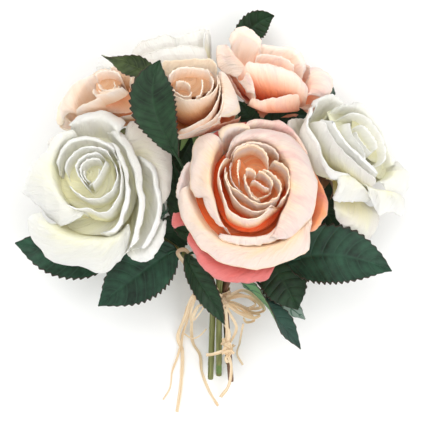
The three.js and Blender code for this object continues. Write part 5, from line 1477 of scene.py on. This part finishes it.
# %% The tie, its knot and its loops
USUAL_FLAT = [0, 0.3, 0.95]  # the way a strip's upper side looks, where a path doesn't say another
LOOPS = [
    dict(path=[[9, -56, 41], [19.5, -50.7, 45], [29, -56.5, 44], [33.5, -64, 39], [27, -66, 36],
        [17, -60.5, 38], [9.5, -58, 40]], wide=3.0, flat=[0.3, 0.6, 0.75]),
    dict(path=[[9, -53, 41], [20, -54.2, 42], [28, -60, 40], [22, -63.5, 36], [14, -61, 37],
        [9.5, -58, 39.5]], wide=2.6, flat=[0.3, 0.7, 0.65]),
    dict(path=[[10, -58, 39.5], [17, -65.5, 36], [25, -67.5, 33], [27, -71.5, 30], [22, -72.5, 31],
        [20, -69.5, 33]], wide=2.4, flat=[0.1, 0.4, 0.9]),
    dict(path=[[6, -55, 41], [-8, -46, 46], [-17, -34.5, 50], [-23, -25.5, 51], [-18.5, -24, 48],
        [-10, -34.5, 45], [3, -51, 40]], wide=2.8, flat=[0.4, -0.4, 0.8]),
    dict(path=[[8.5, -57, 41], [18, -54.5, 43.5], [26.5, -56.5, 42.5], [31.5, -62, 38.5], [25, -63.5, 37],
        [15, -59.5, 39], [8.5, -58, 40.5]], wide=2.6, flat=[0.2, 0.5, 0.85]),
    dict(path=[[9, -58.5, 40], [16, -62, 39.5], [24, -66, 36.5], [31, -67.5, 33.5], [27, -69.5, 33.5],
        [17, -66, 36.5], [9.5, -60.5, 40]], wide=2.2, flat=[0.1, 0.6, 0.8]),
    dict(path=[[8, -60, 40.5], [12, -68, 37], [15.5, -76, 32], [12.5, -84, 30], [8, -89, 31]], wide=2.2,
        flat=[0.3, 0.2, 0.9]),
    dict(path=[[7, -61, 40.8], [6.5, -70, 38], [10.5, -79, 34], [9.5, -88, 31.5]], wide=2.4,
        flat=[-0.2, 0.2, 0.95]),
    dict(path=[[6.8, -83, 31], [8.2, -87, 33], [12, -90, 33], [10.5, -94, 32], [7.4, -91, 33.4],
        [10.6, -86.6, 34], [11.4, -92.6, 33], [8.6, -96.4, 31], [9.8, -99.5, 29]], wide=2.6),
    dict(path=[[5.4, -86.2, 31.6], [8.4, -87.4, 34.4], [11.4, -88.8, 34.4], [14.2, -87.4, 31.4]], wide=2.2),
    dict(path=[[5.8, -93.4, 31.4], [8.6, -91.6, 34.6], [11.6, -91.2, 34.4], [14.0, -93.2, 31.2]], wide=2.0),
    dict(path=[[-7.5, -52.8, 39], [-9.7, -53.6, 37], [-13, -60.5, 28.5], [-15, -67.5, 19.5],
        [-15, -74.5, 10.5]], wide=1.5),
    dict(path=[[-11.6, -53.6, 37.2], [-15.4, -64, 22.8], [-17.9, -74, 10.5], [-20.4, -82, 4.2],
        [-21.3, -88, 2.6], [-21.5, -93, 2.2]], wide=2.2),
    dict(path=[[-5.8, -61.5, 39], [-8.6, -66, 33], [-12.6, -71.5, 24]], wide=1.2),
    dict(path=[[-19.5, -81.5, 8], [-14, -84.8, 7], [-9.5, -83.2, 9], [-4.5, -78, 13]], wide=1.2),
    dict(path=[[9, -90.5, 32], [4, -92.5, 31], [-1, -94, 28.5], [-4.5, -94.5, 25]], wide=2.4,
        flat=[0, 0.4, 0.9]),
]
WOUND = STEM_PITCH + STEM_RADIUS + SEAT_GAP + 0.45  # mm, where the winding lies round the stems
WINDING_TURNS, WINDING_POINTS, WINDING_WIDE = 5.2, 260, 2.9
KNOT = TIE + BUNDLE_UP * 9.5 + np.array([3.0, 0, 0])  # on top of the stems, a little to the right
KNOT_SIZE = np.array([3.9, 3.6, 2.9])
LAPS = [(0.2, 3.0), (1.25, 2.6), (2.2, 2.8), (2.9, 2.4)]  # the knot's laps: tilt in radians, width in mm
SEEDS = dict(winding=41, knot=50, loops=60, tails=70)  # the first of each, for how their strips are uneven


def winding():
    """The strip that is wound round the stems, a little unevenly."""
    turn = np.linspace(0, WINDING_TURNS * 2 * math.pi, WINDING_POINTS)
    radial = np.cos(turn)[:, None] * BUNDLE_SIDE + np.sin(turn)[:, None] * BUNDLE_UP
    out = WOUND + 0.25 * np.sin(turn * 0.31) + 0.15 * np.sin(turn * 2.3)
    up = np.linspace(-4.4, 4.2, WINDING_POINTS) + 0.5 * np.sin(turn * 0.7)
    line = TIE + BUNDLE_AXIS * up[:, None] + radial * out[:, None]
    return strip(line, WINDING_WIDE, radial, SEEDS["winding"])


def knot_lap(k, tilt, width):
    """One lap of the knot, a strip that comes back to where it starts."""
    lap = np.linspace(0, 2 * math.pi, 50)[:, None]
    one = unit(BUNDLE_SIDE * math.cos(tilt) + BUNDLE_AXIS * math.sin(tilt))
    other = unit(BUNDLE_UP + 0.35 * np.cross(one, BUNDLE_UP) * (-1) ** k)
    way = np.cos(lap) * one + np.sin(lap) * other
    return strip(KNOT + way * KNOT_SIZE, width, way, SEEDS["knot"] + k, thick=0.5)


def knot_filling():
    """A round body inside the knot, so that no gap between its laps is empty."""
    along = np.linspace(-1, 1, 12)
    radii = 3.0 * np.sqrt(np.maximum(1 - along**2, 0.01))
    return rod(KNOT + along[:, None] * BUNDLE_SIDE * 3.4, radii, 14)


tie_patches = [winding()]
for k, (tilt, width) in enumerate(LAPS):
    tie_patches.append(knot_lap(k, tilt, width))
tie_patches.append(knot_filling())
for k, loop in enumerate(LOOPS):
    line = curve_through(loop["path"])
    flat = loop.get("flat", USUAL_FLAT)
    tie_patches.append(strip(line, loop["wide"], flat, SEEDS["loops"] + k, twist=25 * (-1) ** k))
tie = make_piece("raffia_tie", tie_patches, [RAFFIA])
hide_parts("raffia_bow")
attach(tie, "root")
print("tie:", len(tie.data.polygons), "faces")

# %% [markdown]
# ## Loose ends
# The ends of the raffia hang free: each is a limp strip of fixed length, drawn along its own path, that
# leaves the tie at one end and is simply torn off at the other.

# %% The five tails
TAILS = {
    "left_long": dict(path=[[1.8, -58.2, 41], [-6.6, -53.2, 42], [-12.5, -54.2, 36], [-18.1, -68.6, 16],
        [-23.7, -84.8, 3], [-21.0, -93.0, 1.6], [-21.7, -116.7, 1.6], [-24.4, -135.1, 1.6]], wide=3.0),
    "left_inner": dict(path=[[2.2, -61.2, 39], [-5.9, -60.4, 38], [-10.0, -62.4, 30], [-14.5, -75.7, 9],
        [-13.6, -88.2, 3], [-9, -96.3, 1.8], [-7.7, -107.4, 1.6], [-3.0, -120.1, 1.6], [3.4, -131.0, 1.6]],
        wide=2.4),
    "left_thin": dict(path=[[-22.4, -91.0, 2.4], [-24.2, -98.0, 2.0], [-27.7, -107.5, 1.6],
        [-29.2, -118.7, 1.6], [-33.9, -126.9, 1.6]], wide=1.4, flat=[0, 0, 1]),
    "centre": dict(path=[[8.5, -62.8, 41.5], [9.3, -77.6, 34.5], [9.3, -91.4, 28.5], [12.1, -102.0, 21.5],
        [10.5, -116.0, 12], [5.0, -125.0, 1.6]], wide=2.4),
    "right_thin": dict(path=[[20, -73.5, 31.5], [19.0, -80.0, 22], [17.9, -87.7, 12], [16.5, -96.1, 3],
        [20.3, -103.1, 1.6]], wide=1.6),
}
for k, (name, tail) in enumerate(TAILS.items()):
    line = curve_through(tail["path"], 100)
    flat = tail.get("flat", USUAL_FLAT)
    patch = strip(line, tail["wide"], flat, SEEDS["tails"] + k, twist=35 * (-1) ** k)
    piece = make_piece(f"raffia_end_{name}", [patch], [RAFFIA])
    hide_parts(f"raffia_tail_{name}")
    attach(piece, "root")

# %% [markdown]
# ## Table, light and camera
# A product photograph of flowers is lit by one large soft box above and a weaker one opposite, in a
# white room, so that shadows are soft and the whites keep a little shape. The camera looks straight
# down with a long lens, from where the petals' lines were read off, as the photograph was framed.

# %% The pale table
TABLE_HALF = 3  # m, so that its edges are never in sight

scene = bpy.context.scene
corners = [(x * TABLE_HALF, y * TABLE_HALF, 0) for x, y in [(-1, -1), (1, -1), (1, 1), (-1, 1)]]
table_mesh = bpy.data.meshes.new("table")
table_mesh.from_pydata(corners, [], [(0, 1, 2, 3)])
painted, _, paint = new_material("matt_white_paint")
feed(paint, {"Base Color": linear("#fdfdfc"), "Roughness": 0.9})
table_mesh.materials.append(painted)
table = bpy.data.objects.new("table", table_mesh)
scene.collection.objects.link(table)
print("table ready")


# %% Soft boxes, white room and camera
LIT = Vector((0, 0, 0.05))  # m, the middle of the bunch


def soft_box(name, at, size, power):
    """A round soft light that looks at the bunch. Its place and size are in metres, its power in watts."""
    lamp = bpy.data.lights.new(name, "AREA")
    lamp.shape, lamp.size, lamp.energy = "DISK", size, power
    box = bpy.data.objects.new(name, lamp)
    scene.collection.objects.link(box)
    box.location = at
    box.rotation_mode = "QUATERNION"
    box.rotation_quaternion = (LIT - Vector(at)).to_track_quat("-Z", "Y")


soft_box("soft_box_key", (-0.35, 0.75, 1.2), 1.1, 5.6)
soft_box("soft_box_fill", (0.6, -0.4, 1.0), 1.0, 3.6)
scene.world = bpy.data.worlds.new("white_room")
scene.world.use_nodes = True
feed(scene.world.node_tree.nodes["Background"], {"Color": (1, 1, 1, 1), "Strength": 1.0})
scene.view_settings.view_transform = "Standard"
camera = bpy.data.objects.new("camera", bpy.data.cameras.new("camera"))
scene.collection.objects.link(camera)
camera.data.lens, camera.data.sensor_width, camera.data.clip_start = 156, 36, 0.01
camera.location = (EYE + FRAME_SHIFT) * MM
scene.camera = camera
print("camera", round(camera.location.z, 3), "m above the table")
